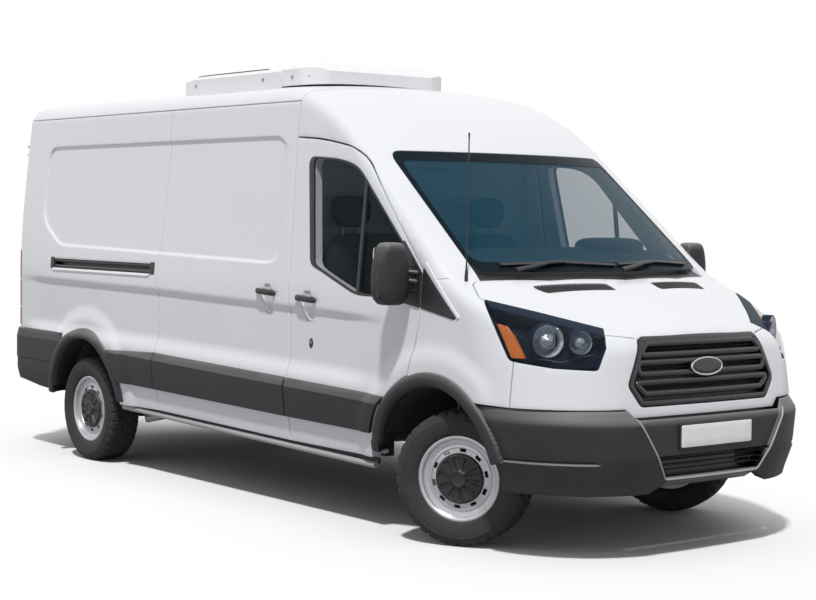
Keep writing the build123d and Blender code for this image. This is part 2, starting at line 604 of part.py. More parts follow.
# Front knuckles with struts and brake discs
hub_z = TYRE_RADIUS + FRONT_LIFT
for name, side in (("left", 1), ("right", -1)):
    axis_y = STRUT_FOOT_Y - (STRUT_FOOT_Y - STRUT_TOP_Y) * (hub_z - STRUT_FOOT_Z) / (STRUT_TOP_Z - STRUT_FOOT_Z)
    wheel_y = TRACK_FRONT / 2
    knuckle = rod((X_FRONT, side * axis_y, hub_z), (X_FRONT, side * (wheel_y + 62 - RUNNING_GAP), hub_z), 60)
    knuckle = knuckle + rod((X_FRONT, side * (wheel_y + 40), hub_z), (X_FRONT, side * (wheel_y + 88), hub_z),
                            HUB_BORE - RUNNING_GAP)
    disc = rod((X_FRONT, side * (wheel_y - 50), hub_z), (X_FRONT, side * (wheel_y - 22), hub_z), 150)
    knuckle = knuckle + disc
    axis = strut_axis(side)
    low = axis.position + axis.direction * 22
    mid = axis.position + axis.direction * 300
    high = axis.position + axis.direction * 630
    knuckle = knuckle + rod(low, mid, 38) + rod(mid, high, 28)
    nodes["knuckle_" + name] = steered(knuckle, side)

# Front cross member with lower arms
subframe = block((X_FRONT - 90, X_FRONT + 90), (-RAIL_Y - 40, RAIL_Y + 40), (250, 330))
for side in (-1, 1):
    end = (X_FRONT, side * STRUT_FOOT_Y, 205)
    subframe = subframe + rod((X_FRONT - 60, side * RAIL_Y, 275), end, 20)
    subframe = subframe + rod((X_FRONT + 60, side * RAIL_Y, 275), end, 20)
    axis = strut_axis(side)
    ball_top = axis.position + axis.direction * (22 - RUNNING_GAP)
    subframe = subframe + rod(axis.position - axis.direction * 30, ball_top, 24)
    foot_y = sorted((side * (RAIL_Y - 38), side * (RAIL_Y + 38)))
    subframe = subframe + block((X_FRONT - 40, X_FRONT + 40), foot_y, (320, 400))
nodes["front_subframe"] = subframe

# Rear axle with leaf springs and propeller shaft
axle = rod((X_REAR, -TRACK_REAR / 2 - 61.5, TYRE_RADIUS), (X_REAR, TRACK_REAR / 2 + 61.5, TYRE_RADIUS), 45)
for side in (-1, 1):
    y = TRACK_REAR / 2
    axle = axle + rod((X_REAR, side * (y - 60), TYRE_RADIUS), (X_REAR, side * (y + 20), TYRE_RADIUS), 150)
    stub_end = (X_REAR, side * (y + 88), TYRE_RADIUS)
    axle = axle + rod((X_REAR, side * (y + 50), TYRE_RADIUS), stub_end, HUB_BORE - RUNNING_GAP)
    ends = [(X_REAR - 640, side * 560, 440), (X_REAR, side * 560, 290), (X_REAR + 640, side * 560, 440)]
    spring_arc = ThreePointArc(*ends)
    upper = ThreePointArc(*[(px, py, pz + 34) for px, py, pz in ends])
    closing = [Line(spring_arc @ 0, upper @ 0), Line(spring_arc @ 1, upper @ 1)]
    leaf = extrude(Face(Wire([spring_arc, upper, *closing])), amount=35, dir=(0, 1, 0), both=True)
    axle = axle + leaf
    axle = axle + block((X_REAR - 70, X_REAR + 70), sorted((side * 520, side * 600)), (280, 360))
    for x in (X_REAR - 640, X_REAR + 640):
        axle = axle + block((x - 25, x + 25), sorted((side * 525, side * 595)), (440, 560))
axle = axle + Pos(X_REAR, 0, TYRE_RADIUS) * Rot(90, 0, 0) * Cylinder(135, 200)
axle = axle + rod((X_REAR + 100, 0, TYRE_RADIUS), (X_FRONT - 430, 0, 400), 38)
nodes["rear_axle"] = axle

# Engine, tank and exhaust
nodes["engine_block"] = block((X_FRONT + 120, X_FRONT + 700), (-300, 300), (440, 1020))
nodes["engine_block"] = nodes["engine_block"] + block((X_FRONT - 420, X_FRONT + 121), (-150, 150), (360, 478))
foot = block((X_FRONT + 250, X_FRONT + 330), (-RAIL_Y + 40, RAIL_Y - 40), (441, 480))
nodes["engine_block"] = nodes["engine_block"] + foot
tank = block((X_REAR + 780, X_REAR + 1700), (500, 860), (270, 475))
nodes["fuel_tank"] = fillet(tank.edges().filter_by(Axis.X), 50)
muffler = rod((X_REAR + 760, -660, 390), (X_REAR + 1500, -660, 390), 84)
pipe_path = FilletPolyline((X_REAR + 1490, -660, 390), (X_REAR + 1800, -660, 390), (X_REAR + 2100, -260, 390),
                           (X_FRONT + 60, -260, 390), radius=150)
pipe = sweep(Plane(origin=pipe_path @ 0, z_dir=pipe_path % 0) * Circle(30), path=pipe_path)
tail_pipe = rod((X_REAR + 780, -660, 390), (X_REAR + 560, -840, 330), 28)
hanger = block((X_REAR + 1100, X_REAR + 1140), (-672, -648), (440, 560))
nodes["exhaust"] = muffler + pipe + tail_pipe + hanger

# Inside of the cab
dash_points = [(X_FRONT - 290, 1230), (X_FRONT - 200, 1330), (FIREWALL[0], 1345), (FIREWALL[0], 930),
               (X_FRONT - 160, 930), (X_FRONT - 250, 1060)]
nodes["dashboard"] = from_side(dash_points, (-880, 880), 30.0)
seat_rows = [(430.0, 250.0), (-400.0, 440.0)]
seats = []
for y, half in seat_rows:
    base = block((B_SEAM + 90, B_SEAM + 640), (y - half + 40, y + half - 40), (CAB_FLOOR, 800))
    cushion = block((B_SEAM + 80, B_SEAM + 680), (y - half, y + half), (800, 930))
    cushion = fillet(cushion.edges().filter_by(Axis.Y), 45)
    back = [(B_SEAM + 60, 900), (B_SEAM + 200, 900), (B_SEAM + 90, 1580), (B_SEAM + 20, 1580)]
    rest = from_side(back, (y - half, y + half), 30.0)
    seat = base + cushion + rest
    for hy in ([y] if half < 300 else [y - half / 2, y + half / 2]):
        head = block((B_SEAM + 22, B_SEAM + 100), (hy - 130, hy + 130), (1620, 1800))
        seat = seat + fillet(head.edges().filter_by(Axis.X), 40)
        for dy in (-60, 60):
            seat = seat + rod((B_SEAM + 58, hy + dy, 1560), (B_SEAM + 58, hy + dy, 1640), 7)
    seats.append(seat.solid())
nodes["seats"] = Compound(seats)
WHEEL_MID = Vector(X_FRONT - 430, 430, 1200)
WHEEL_LEAN = 55.0
turn = Pos(*WHEEL_MID) * Rot(0, -WHEEL_LEAN, 0)
steering = Torus(190, 15)
for a in (0, 120, 240):
    steering = steering + Rot(0, 0, a) * Pos(100, 0, -10) * Box(190, 34, 14)
steering = steering + Pos(0, 0, -14) * Cylinder(70, 40)
steering = steering + Pos(0, 0, -70) * Cylinder(28, 90)
nodes["steering_wheel"] = turn * steering
column = turn * Pos(0, 0, -175 - RUNNING_GAP) * Cylinder(28, 120)
nodes["dashboard"] = (nodes["dashboard"] + column) - nodes["cab_frame"]

# Mirrors on the doors
for side, sign in (("left", 1), ("right", -1)):
    house = Pos(A_SEAM - 96, sign * (HALF_WIDTH + 105), 1390) * Box(130, 204, 330)
    house = fillet(house.edges(), 38)
    for z in (1290, 1400):
        start = (A_SEAM - 60, sign * (half_width(z) - 4), z)
        house = house + rod(start, (A_SEAM - 96, sign * (HALF_WIDTH + 60), z + 10), 20)
    sail = window_form(-4, LEFT if sign > 0 else RIGHT)
    sail = sail & block((A_SEAM - 200, A_SEAM), (-HALF_WIDTH - 50, HALF_WIDTH + 50), (1200, 1600))
    sail = sail & (tunnel(-2, CAB_LENGTH) - tunnel(PANE_IN, CAB_LENGTH))
    nodes["mirror_" + side] = house + sail

# Cooling unit on the roof
UNIT_REAR = X_REAR + 522.0
UNIT_FRONT = X_FRONT - 1768.0
UNIT_SPLIT = UNIT_FRONT - 305.0
UNIT_HALF = 560.0
UNIT_TOP = ROOF_HEIGHT + 165.0
COVER_FOOT = ROOF_HEIGHT + 46.0
base_y = (-UNIT_HALF + 60, UNIT_HALF - 60)
base = block((UNIT_REAR + 60, UNIT_FRONT - 50), base_y, (ROOF_HEIGHT - 60, COVER_FOOT))
nodes["unit_base"] = base - SHELL_OUT


def unit_level(z, inset, x):
    front = [(x[0], -UNIT_HALF + inset, z), (x[1] - inset, -UNIT_HALF + inset, z),
             (x[1] - inset, UNIT_HALF - inset, z), (x[0], UNIT_HALF - inset, z)]
    corner = 170.0 - inset * 0.5
    return rounded(front, [0, corner, corner, 0])


cover_x = (UNIT_SPLIT + 3, UNIT_FRONT)
cover_levels = [(COVER_FOOT, 0), (ROOF_HEIGHT + 110, 22), (UNIT_TOP, 120)]
nodes["unit_cover_front"] = loft([unit_level(z, inset, cover_x) for z, inset in cover_levels], ruled=True)
rear_outline = [(UNIT_REAR, COVER_FOOT), (UNIT_REAR + 20, COVER_FOOT + 24), (UNIT_REAR + 190, UNIT_TOP - 36),
                (UNIT_SPLIT, UNIT_TOP - 12), (UNIT_SPLIT, COVER_FOOT)]
rear_cover = from_side(rear_outline, (-UNIT_HALF, UNIT_HALF))
rear_section = [(-UNIT_HALF, ROOF_HEIGHT), (UNIT_HALF, ROOF_HEIGHT), (UNIT_HALF, ROOF_HEIGHT + 90),
                (UNIT_HALF - 110, UNIT_TOP), (-UNIT_HALF + 110, UNIT_TOP), (-UNIT_HALF, ROOF_HEIGHT + 90)]
rear_cover = rear_cover & from_front(rear_section, (UNIT_REAR - 10, UNIT_SPLIT + 10), 20.0)
for x in (UNIT_REAR + 480, UNIT_SPLIT - 330):
    rear_cover = rear_cover - Pos(x, 0, UNIT_TOP) * Cylinder(220, 400)
    nodes["unit_base"] = nodes["unit_base"] + Pos(x, 0, ROOF_HEIGHT + 74) * Cylinder(214, 60)
nodes["unit_cover_rear"] = rear_cover

# Liners over the front wheels
liners = []
for side in (-1, 1):
    y = sorted((side * (FOOT_HALF + 10), side * (HALF_WIDTH - 30)))
    liner = arch(ARCH_FRONT, X_FRONT, ARCH_FRONT[2], y) - arch(ARCH_FRONT, X_FRONT, ARCH_FRONT[2] - 9, y)
    liner = liner & block((X_FRONT - 400, X_FRONT + 450), y, (535, 1200))
    axis = strut_axis(side)
    liner = liner - rod(axis.position, axis.position + axis.direction * 900, 75)
    liners.append(liner.solid())
nodes["arch_liners"] = Compound(liners)

os.makedirs("parts", exist_ok=True)
for name, piece in nodes.items():
    export_step(piece, "parts/" + name + ".step")
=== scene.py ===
"""Looks of the refrigerated panel van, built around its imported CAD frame.

Lengths in the tables and functions are millimetres in the CAD frame: +X is the way the van
drives, +Y its left, +Z up. Meshes are scaled to metres when they are made.
"""
import json
import math
import bpy
import numpy as np
from mathutils import Matrix, Vector
from mathutils.geometry import delaunay_2d_cdt

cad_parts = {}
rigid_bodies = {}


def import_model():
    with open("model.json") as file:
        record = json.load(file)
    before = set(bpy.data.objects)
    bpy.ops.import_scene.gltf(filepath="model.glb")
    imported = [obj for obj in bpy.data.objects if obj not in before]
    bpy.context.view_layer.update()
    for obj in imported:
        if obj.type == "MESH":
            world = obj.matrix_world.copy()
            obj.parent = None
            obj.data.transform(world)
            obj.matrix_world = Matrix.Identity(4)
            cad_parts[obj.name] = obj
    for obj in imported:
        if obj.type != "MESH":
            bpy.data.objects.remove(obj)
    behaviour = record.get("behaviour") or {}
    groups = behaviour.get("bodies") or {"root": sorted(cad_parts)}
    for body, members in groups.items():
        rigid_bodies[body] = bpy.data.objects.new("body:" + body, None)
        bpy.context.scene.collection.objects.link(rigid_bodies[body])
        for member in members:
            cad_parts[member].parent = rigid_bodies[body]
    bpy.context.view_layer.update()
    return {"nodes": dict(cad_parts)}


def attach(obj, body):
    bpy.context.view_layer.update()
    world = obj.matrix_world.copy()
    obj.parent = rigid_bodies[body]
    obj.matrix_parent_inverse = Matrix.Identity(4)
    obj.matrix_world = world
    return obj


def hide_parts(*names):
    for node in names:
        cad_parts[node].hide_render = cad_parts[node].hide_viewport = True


for leftover in list(bpy.data.objects):
    bpy.data.objects.remove(leftover)
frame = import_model()
scene = bpy.context.scene
scene.view_settings.view_transform = "Standard"
MM = 0.001
TINY, FAR = 1e-9, 1e9
RIGHT, LEFT = -1, 1
SIDES = ((RIGHT, "right"), (LEFT, "left"))

# Sizes shared with the CAD source
HALF = 2990.5
HALF_WIDTH = 1030
ROOF_HEIGHT = 2480
X_FRONT = 1967.5
X_REAR = -1782.5
REAR_FACE = -2880.5
LOAD_FLOOR = 640
GUTTER = 2342
BULKHEAD_X = 567.5
BULKHEAD_FACE = 38
B_SEAM = 652.5
SLIDER_REAR = -808.5
A_SEAM = 1850.5
COWL_X, COWL_Z = 2285.5, 1385
HEADER_X, HEADER_Z = 1440.5, 2055
ROOF_EDGE = 105
ROOF_CROWN = 7196
SCREEN_BOW = 1958
DOME_RADIUS, DOME_X, DOME_Z = 2020, 181.9, 475
SCREEN_LEAN = (COWL_X - HEADER_X) / (HEADER_Z - COWL_Z)
BONNET_SLOPE = 0.455
BONNET_DROP = 110
NOSE_BOW = 62
FASCIA_X = 2520.5
DOOR_GAP = 9
SEAM = 6
FRONT_ARCH = (X_FRONT + 12, 366)
REAR_ARCH = (X_REAR + 37, 376)
ARCH_OPEN = 455
ARCH_FLARE = 530

# Side of the body: height, half width
SIDE_ROWS = [(200, 958), (380, 983), (720, 1030), (1280, 1012), (2425, 888), (2700, 858)]
# Nose and bumper in plan: height, set back from the front end, and for the nose its corner radius
NOSE_ROWS = [(300, 44, 520), (520, 60, 520), (760, 78, 520), (1000, 104, 540), (1130, 130, 560),
             (1500, 320, 600)]
BUMPER_ROWS = [(250, 62), (335, 46), (520, 2), (688, 2), (757, 46), (900, 118)]
BUMPER_CORNER = 600


# Lines and outlines
def join(*parts):
    return np.stack(parts, 1)


def chain(*parts):
    """Lists of flat points, one after the other."""
    return np.concatenate([np.asarray(part, float).reshape(-1, 2) for part in parts])


def unit(vectors):
    return vectors / np.maximum(np.linalg.norm(vectors, axis=1), TINY)[:, None]


def left_of(vectors):
    """Flat vectors turned by a quarter."""
    return join(-vectors[:, 1], vectors[:, 0])


def loop_distance(points, loop):
    """Distance from 2-D points to a closed outline."""
    loop = np.asarray(loop, float)
    best = np.full(len(points), FAR)
    for a, b in zip(loop, np.roll(loop, -1, 0)):
        along = b - a
        share = np.clip((points - a) @ along / max(along @ along, TINY), 0, 1)
        best = np.minimum(best, np.hypot(*(points - a - share[:, None] * along).T))
    return best


def in_loop(points, loop):
    """Which 2-D points are inside a closed outline."""
    loop = np.asarray(loop, float)
    inside = np.zeros(len(points), bool)
    px, py = points[:, 0], points[:, 1]
    for (ax, ay), (bx, by) in zip(loop, np.roll(loop, -1, 0)):
        if ay != by:
            inside ^= ((ay > py) != (by > py)) & (px < (bx - ax) * (py - ay) / (by - ay) + ax)
    return inside


def loop_gap(points, loop):
    """Distance from 2-D points to a closed outline, negative inside it."""
    return loop_distance(points, loop) * np.where(in_loop(points, loop), -1, 1)


def fill_in(points, pitch, closed=True):
    """The same line with points no further apart than a pitch."""
    points = np.asarray(points, float)
    ends = np.roll(points, -1, 0) if closed else points[1:]
    out = []
    for a, b in zip(points, ends):
        count = max(1, int(math.ceil(np.linalg.norm(b - a) / pitch)))
        out.extend(a + (b - a) * k / count for k in range(count))
    if not closed:
        out.append(points[-1])
    return np.array(out)


def soften(points, radius, steps=6):
    """A closed outline with its corners rounded. Radius is one number or one for each corner."""
    points = np.asarray(points, float)
    radii = [radius] * len(points) if np.isscalar(radius) else radius
    out = []
    for k, here in enumerate(points):
        before, after = points[k - 1] - here, points[(k + 1) % len(points)] - here
        long_a, long_b = np.linalg.norm(before), np.linalg.norm(after)
        before, after = before / long_a, after / long_b
        half = math.acos(float(np.clip(before @ after, -1, 1))) / 2
        run = min(radii[k] / max(math.tan(half), 1e-3), 0.48 * long_a, 0.48 * long_b)
        if radii[k] <= 0 or half > 1.55:
            out.append(here)
            continue
        a, b = here + before * run, here + after * run
        for s in np.linspace(0, 1, steps):
            out.append((1 - s) ** 2 * a + 2 * s * (1 - s) * here + s * s * b)
    return np.array(out)


def inset(loop, distance):
    """A closed outline moved towards its inside by a distance, or outward if it is negative."""
    loop = np.asarray(loop, float)
    area = np.sum(loop[:, 0] * np.roll(loop[:, 1], -1) - np.roll(loop[:, 0], -1) * loop[:, 1])
    side = left_of(unit(np.roll(loop, -1, 0) - loop)) * np.sign(area)
    mitre = side + np.roll(side, 1, 0)
    mitre /= np.maximum(np.sum(mitre * side, axis=1), 0.35)[:, None]
    return loop + mitre * distance


def arc(centre, radius, start, end, steps=28):
    turn = np.radians(np.linspace(start, end, steps))
    return join(centre[0] + radius * np.cos(turn), centre[1] + radius * np.sin(turn))


def oval(a, b, steps=12):
    turn = np.linspace(0, 2 * math.pi, steps, endpoint=False)
    return join(a * np.cos(turn), b * np.sin(turn))


def box(a0, b0, a1, b1, radius=0):
    """A rectangle between two corners, with rounded corners."""
    return soften([(a0, b0), (a1, b0), (a1, b1), (a0, b1)], radius)


def both(half):
    """An outline in (y, z) for both sides, from its left half."""
    return list(half) + [(-y, z) for y, z in half[::-1]]


def whole(half):
    """A fine outline for both sides, from its left half. The first and last points are in the middle."""
    return np.concatenate([half, (half * [-1, 1])[-2:0:-1]])


def level_line(at, low, high, count=60):
    """Points along the first axis, at one place on the second."""
    return join(np.linspace(low, high, count), np.full(count, at))


# Shapes as fields: negative inside, about the distance in millimetres outside
def smooth_table(rows, column, window, pitch=5):
    """A table's column as a function of its first column, with the corners smoothed."""
    at = np.arange(rows[0][0] - window, rows[-1][0] + window, pitch)
    raw = np.interp(at, [r[0] for r in rows], [r[column] for r in rows])
    count = max(3, int(window / pitch) | 1)
    weights = np.hanning(count + 2)
    smooth = np.convolve(np.pad(raw, count, "edge"), weights / weights.sum(), "same")[count:-count]
    return lambda value: np.interp(value, at, smooth)


half_at = smooth_table(SIDE_ROWS, 1, 180)
nose_back = smooth_table(NOSE_ROWS, 1, 140)
nose_corner = smooth_table(NOSE_ROWS, 2, 140)
bumper_back = smooth_table(BUMPER_ROWS, 1, 24)


def step(low, high, value):
    """Smooth rise from 0 at low to 1 at high."""
    t = np.clip((value - low) / (high - low), 0, 1)
    return t * t * (3 - 2 * t)


def round_max(a, b, radius):
    """Where two fields are both inside, with the edge between them rounded."""
    corner_gap = np.hypot(np.maximum(a + radius, 0), np.maximum(b + radius, 0))
    return np.minimum(-radius, np.maximum(a, b)) + corner_gap


def soft_min(a, b, blend):
    share = np.clip(0.5 + 0.5 * (b - a) / blend, 0, 1)
    return b + (a - b) * share - blend * share * (1 - share)


def plan_half(x):
    """Half width in plan, tapered towards the rear."""
    return np.interp(x, [REAR_FACE, X_REAR + 280], [HALF_WIDTH - 50, HALF_WIDTH + 12])


# Pressed panel in the side above the waist: x and z
RECESS = [(-2445, 2140), (486, 2140), (516, 1408), (-2168, 1462), (-2459, 1630)]
RECESS_DEPTH = 15
recess_line = soften(RECESS, [110, 110, 120, 260, 220])
# Handle dishes, round their handle's place, and the slider track in the side: x and z
DISH = [(-64, 8), (-36, 20), (-30, 46), (30, 46), (36, 20), (64, 8), (36, -128), (-36, -128)]
dish_line = soften(DISH, [8, 14, 26, 26, 14, 8, 30, 30])
SLIDER_HANDLE = (441, 1239)
DOOR_HANDLE = (841, 1216)
track_loop = box(-2262, 1300, -862, 1364, 16)
# The waist crease: x, height, and how far the guide lines run under it
CREASE_X = [-2404, -815, 1070, 1600]
CREASE_Z = [1232, 1212, 1170, 1152]
CREASE_GUIDE = 31


def recess(x, z):
    width = 9 + 45 * step(430, 530, x) * (1 - step(2080, 2125, z))
    return RECESS_DEPTH * (1 - step(-width, width, loop_gap(join(x, z), recess_line)))


def dish(x, z, place):
    depth = np.zeros_like(x)
    near = (np.abs(x - place[0]) < 110) & (np.abs(z - place[1] + 40) < 150)
    if near.any():
        points = join(x[near] - place[0], z[near] - place[1])
        floor_depth = 10 + 16 * np.clip((16 - points[:, 1]) / 130, 0, 1)
        depth[near] = floor_depth * (1 - step(-10, 3, loop_gap(points, dish_line)))
    return depth


def crease_height(x):
    return np.interp(x, CREASE_X, CREASE_Z)


def crease_guide(low, high, count):
    x = np.linspace(low, high, count)
    return join(x, crease_height(x) - CREASE_GUIDE)


def tuck(x, z):
    """The waist crease: the side turns in below it and comes out again towards the sill."""
    below = crease_height(x) - z
    depth = 20 * step(0, 44, below) + 6 * np.clip(below / 310, 0, 1)
    depth = depth * (1 - step(312, 398, below))
    return depth * step(-2800, -2350, x) * (1 - step(1150, 1650, x))


def swell(x, z, centre):
    """The swelling of the side around a wheel arch."""
    far = np.hypot(x - centre[0], z - centre[1])
    return 18 * (1 - step(ARCH_FLARE + 55, ARCH_FLARE + 150, far))


def shell(p):
    """The body behind the windscreen."""
    x, y, z = p.T
    out = np.abs(y)
    side = out - soft_min(half_at(z), plan_half(x), 30)
    field = round_max(side, REAR_FACE - x, 140)
    roof = z - ROOF_HEIGHT + ROOF_CROWN - np.sqrt(ROOF_CROWN ** 2 - np.minimum(out, 2000) ** 2)
    field = round_max(field, roof, ROOF_EDGE)
    bowed = x + SCREEN_BOW - np.sqrt(SCREEN_BOW ** 2 - np.minimum(out, 1900) ** 2)
    turn = np.arctan2(bowed - DOME_X, z - DOME_Z)
    dome = np.hypot(bowed - DOME_X, z - DOME_Z) - DOME_RADIUS
    plane = (bowed - COWL_X + SCREEN_LEAN * (z - COWL_Z)) / math.hypot(1, SCREEN_LEAN)
    limit = math.atan2(HEADER_X - DOME_X, HEADER_Z - DOME_Z)
    glass = np.where(turn < limit, np.where(bowed > DOME_X, dome, z - DOME_Z - DOME_RADIUS), plane)
    return round_max(field, glass, 42)


def sides(p):
    """The body with its pressed side panels."""
    x, y, z = p.T
    pressed = shell(p) + recess(x, z) + tuck(x, z) - swell(x, z, REAR_ARCH)
    return pressed + np.where(y < 0, dish(x, z, SLIDER_HANDLE), 0)


def door_side(p):
    x, _, z = p.T
    arch = swell(x, z, FRONT_ARCH) * step(X_FRONT - 700, X_FRONT - 560, x)
    return shell(p) + tuck(x, z) - arch + dish(x, z, DOOR_HANDLE)


def bonnet_crease(x):
    """Half width of the bonnet's raised middle."""
    return np.interp(x, [2350, 2860], [650, 440])


def bonnet_height(x, y):
    crease = bonnet_crease(x)
    raised = 8 * (1 - step(crease - 40, crease + 40, np.abs(y))) * step(2290, 2420, x)
    return COWL_Z + BONNET_SLOPE * (COWL_X - x) - BONNET_DROP * (y / 960) ** 2 + raised - 8


def nose(p):
    """The front end under the bonnet line."""
    x, y, z = p.T
    half = half_at(z)
    front = x - (HALF - nose_back(z) - NOSE_BOW * (y / half) ** 2)
    field = round_max(front, np.abs(y) - half, nose_corner(z))
    field = round_max(field, (z - bonnet_height(x, y)) * 0.91, 48)
    return field - swell(x, z, FRONT_ARCH) * (1 - step(2330, 2480, x)) * (1 - step(1000, 1150, z))


# Ways to lay a flat outline on the body. Each gives rays from inside, and the way back to flat or None.
WRAP_X = REAR_FACE + 150
WRAP_Y = 740
WRAP_R = 160


def across(side):
    """Outline in x and z on one side. Behind the rear corner it is unrolled."""
    def ray(u, v):
        turn = np.maximum(WRAP_X - u, 0) / WRAP_R
        start = join(np.maximum(u, WRAP_X), np.full_like(u, side * WRAP_Y), v)
        return start, join(-np.sin(turn), side * np.cos(turn), np.zeros_like(u))

    def flat(p):
        x, y, z = p.T
        turn = np.arctan2(np.maximum(WRAP_X - x, 0), np.abs(y) - WRAP_Y)
        return join(np.where(x < WRAP_X, WRAP_X - turn * WRAP_R, x), z)
    return ray, flat


def unrolled(x, y, z):
    """How far back a place on the left side is when the side is unrolled."""
    return float(across(LEFT)[1](np.array([[x, y, z]]))[0, 0])


def over(ridge_z, ridge_y, roll, back_x=-FAR, back_roll=160):
    """Outline in x and y on the roof, unrolled over the sides and, from back_x, over the rear."""
    def ray(u, v):
        tilt = np.sign(v) * np.maximum(np.abs(v) - ridge_y, 0) / roll
        lean = np.maximum(back_x - u, 0) / back_roll
        x = np.maximum(u, back_x)
        start = join(x, np.clip(v, -ridge_y, ridge_y), ridge_z(x))
        return start, join(-np.sin(lean), np.sin(tilt) * np.cos(lean), np.cos(tilt) * np.cos(lean))

    def flat(p):
        x, y, z = p.T
        edge = np.maximum(x, back_x)
        out = np.maximum(np.abs(y) - ridge_y, 0)
        up = z - ridge_z(edge)
        v = np.where(out > 0, np.sign(y) * (ridge_y + np.arctan2(out, up) * roll), y)
        lean = np.arctan2(edge - x, np.hypot(out, up))
        return join(np.where(edge > x, edge - lean * back_roll, x), v)
    return ray, flat


def rolled(side):
    """Outline in x and z on a front wing, unrolled over its top."""
    knee_y, knee_z, roll = 700, 1000, 300

    def ray(u, v):
        tilt = np.maximum(v - knee_z, 0) / roll
        start = join(u, np.full_like(u, side * knee_y), np.minimum(v, knee_z))
        return start, join(np.zeros_like(u), side * np.cos(tilt), np.sin(tilt))

    def flat(p):
        x, y, z = p.T
        tilt = np.arctan2(np.maximum(z - knee_z, 0), np.abs(y) - knee_y)
        return join(x, np.where(z > knee_z, knee_z + tilt * roll, z))
    return ray, flat


def around():
    """Outline in arc length and height round the nose."""
    axis_x, reference = 2150, 900

    def ray(u, v):
        turn = u / reference
        start = join(np.full_like(u, axis_x), np.zeros_like(u), v)
        return start, join(np.cos(turn), np.sin(turn), np.zeros_like(u))

    def flat(p):
        x, y, z = p.T
        return join(np.arctan2(y, x - axis_x) * reference, z)
    return ray, flat


def straight(axis, sign, start_at):
    """Outline in the two other axes, laid on along one axis."""
    others = [k for k in range(3) if k != axis]

    def ray(u, v):
        start = np.zeros((len(u), 3))
        start[:, others[0]], start[:, others[1]], start[:, axis] = u, v, start_at
        direction = np.zeros((len(u), 3))
        direction[:, axis] = sign
        return start, direction
    return ray, None


def corner(side):
    """Outline in width and height, seen from 45 degrees off one front corner."""
    c = math.sqrt(0.5)
    begin = 1750

    def ray(u, v):
        start = join((u + begin) * c, -side * (u - begin) * c, v)
        return start, np.tile([c, side * c, 0], (len(u), 1))
    return ray, None


def project(cast, points, form, reach=1700):
    """3-D points where the rays of flat points leave a form."""
    points = np.asarray(points, float).reshape(-1, 2)
    start, direction = cast[0](points[:, 0], points[:, 1])
    low, high = np.zeros(len(points)), np.full(len(points), reach)
    for _ in range(24):
        middle = (low + high) / 2
        inside = form(start + middle[:, None] * direction) < 0
        low, high = np.where(inside, middle, low), np.where(inside, high, middle)
    return start + low[:, None] * direction


def normals(form, p, nudge=0.6):
    slope = np.zeros_like(p)
    for axis, shift in enumerate(np.eye(3) * nudge):
        slope[:, axis] = form(p + shift) - form(p - shift)
    return unit(slope)


# Making pieces
SLOT_OF = {}


def put(name, vertices, faces, material, body="body", slot=None, replaces=(), sharp=38):
    """A mesh piece from millimetre vertices, riding on a body. Its slot, its finish's if none is given, is
    looked up but not stored on the piece.
    """
    mesh = bpy.data.meshes.new(name)
    corners = [tuple(int(i) for i in face) for face in faces]
    mesh.from_pydata((np.asarray(vertices, float) * MM).tolist(), [], corners)
    mesh.validate()
    mesh.polygons.foreach_set("use_smooth", [True] * len(mesh.polygons))
    mesh.set_sharp_from_angle(angle=math.radians(sharp))
    mesh.materials.append(material)
    piece = bpy.data.objects.new(name, mesh)
    scene.collection.objects.link(piece)
    slot = slot or SLOT_OF[material.name]
    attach(piece, body)
    if replaces:
        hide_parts(*replaces)
    return piece


def flat_mesh(loops, pitch, guides, rim):
    """Flat points and triangles that fill an outline, the first loop, round its holes, the other loops."""
    dense = [fill_in(loop, pitch * 0.6) for loop in loops]
    edges, extra, first = [], [], 0
    for loop in dense:
        edges += [(first + k, first + (k + 1) % len(loop)) for k in range(len(loop))]
        first += len(loop)
        aside = unit(left_of(np.roll(loop, -1, 0) - np.roll(loop, 1, 0)))
        for share in (0.35, 1) if rim > 0 else ():
            extra += [loop + aside * rim * share, loop - aside * rim * share]
    low, high = loops[0].min(0), loops[0].max(0)
    grid = np.meshgrid(np.arange(low[0], high[0], pitch), np.arange(low[1], high[1], pitch))
    grid = np.stack(grid, -1).reshape(-1, 2)
    for line, closed, width in guides:
        line = fill_in(line, 14, closed)
        aside = unit(left_of(np.gradient(line, axis=0)))
        if closed:
            near = loop_distance(grid, line)
        else:
            near = np.min(np.linalg.norm(grid[:, None, :] - line[None, ::2, :], axis=2), axis=1)
        grid = grid[near > width + 6]
        extra += [line + aside * shift for shift in np.linspace(-width, width, 9)]

    def covered(points):
        keep = in_loop(points, loops[0])
        for hole in loops[1:]:
            keep &= ~in_loop(points, hole)
        return keep

    def within(points, margin):
        points = points[covered(points)]
        return points[edge_gap(points, loops) > margin]

    inner = [within(grid, max(rim * 1.5, pitch * 0.3))]
    inner += [within(line, rim * 0.3 if rim > 0 else 2) for line in extra]
    made = delaunay_2d_cdt([Vector(q) for q in np.concatenate(dense + inner)], edges, [], 0, 1e-4)
    flat = np.array([tuple(q) for q in made[0]])
    faces = np.array([f for f in made[2] if len(f) == 3])
    return flat, faces[covered(flat[faces].mean(1))]


def edge_gap(points, loops):
    """Distance from flat points to the nearest of some outlines."""
    return np.min([loop_distance(points, loop) for loop in loops], axis=0)


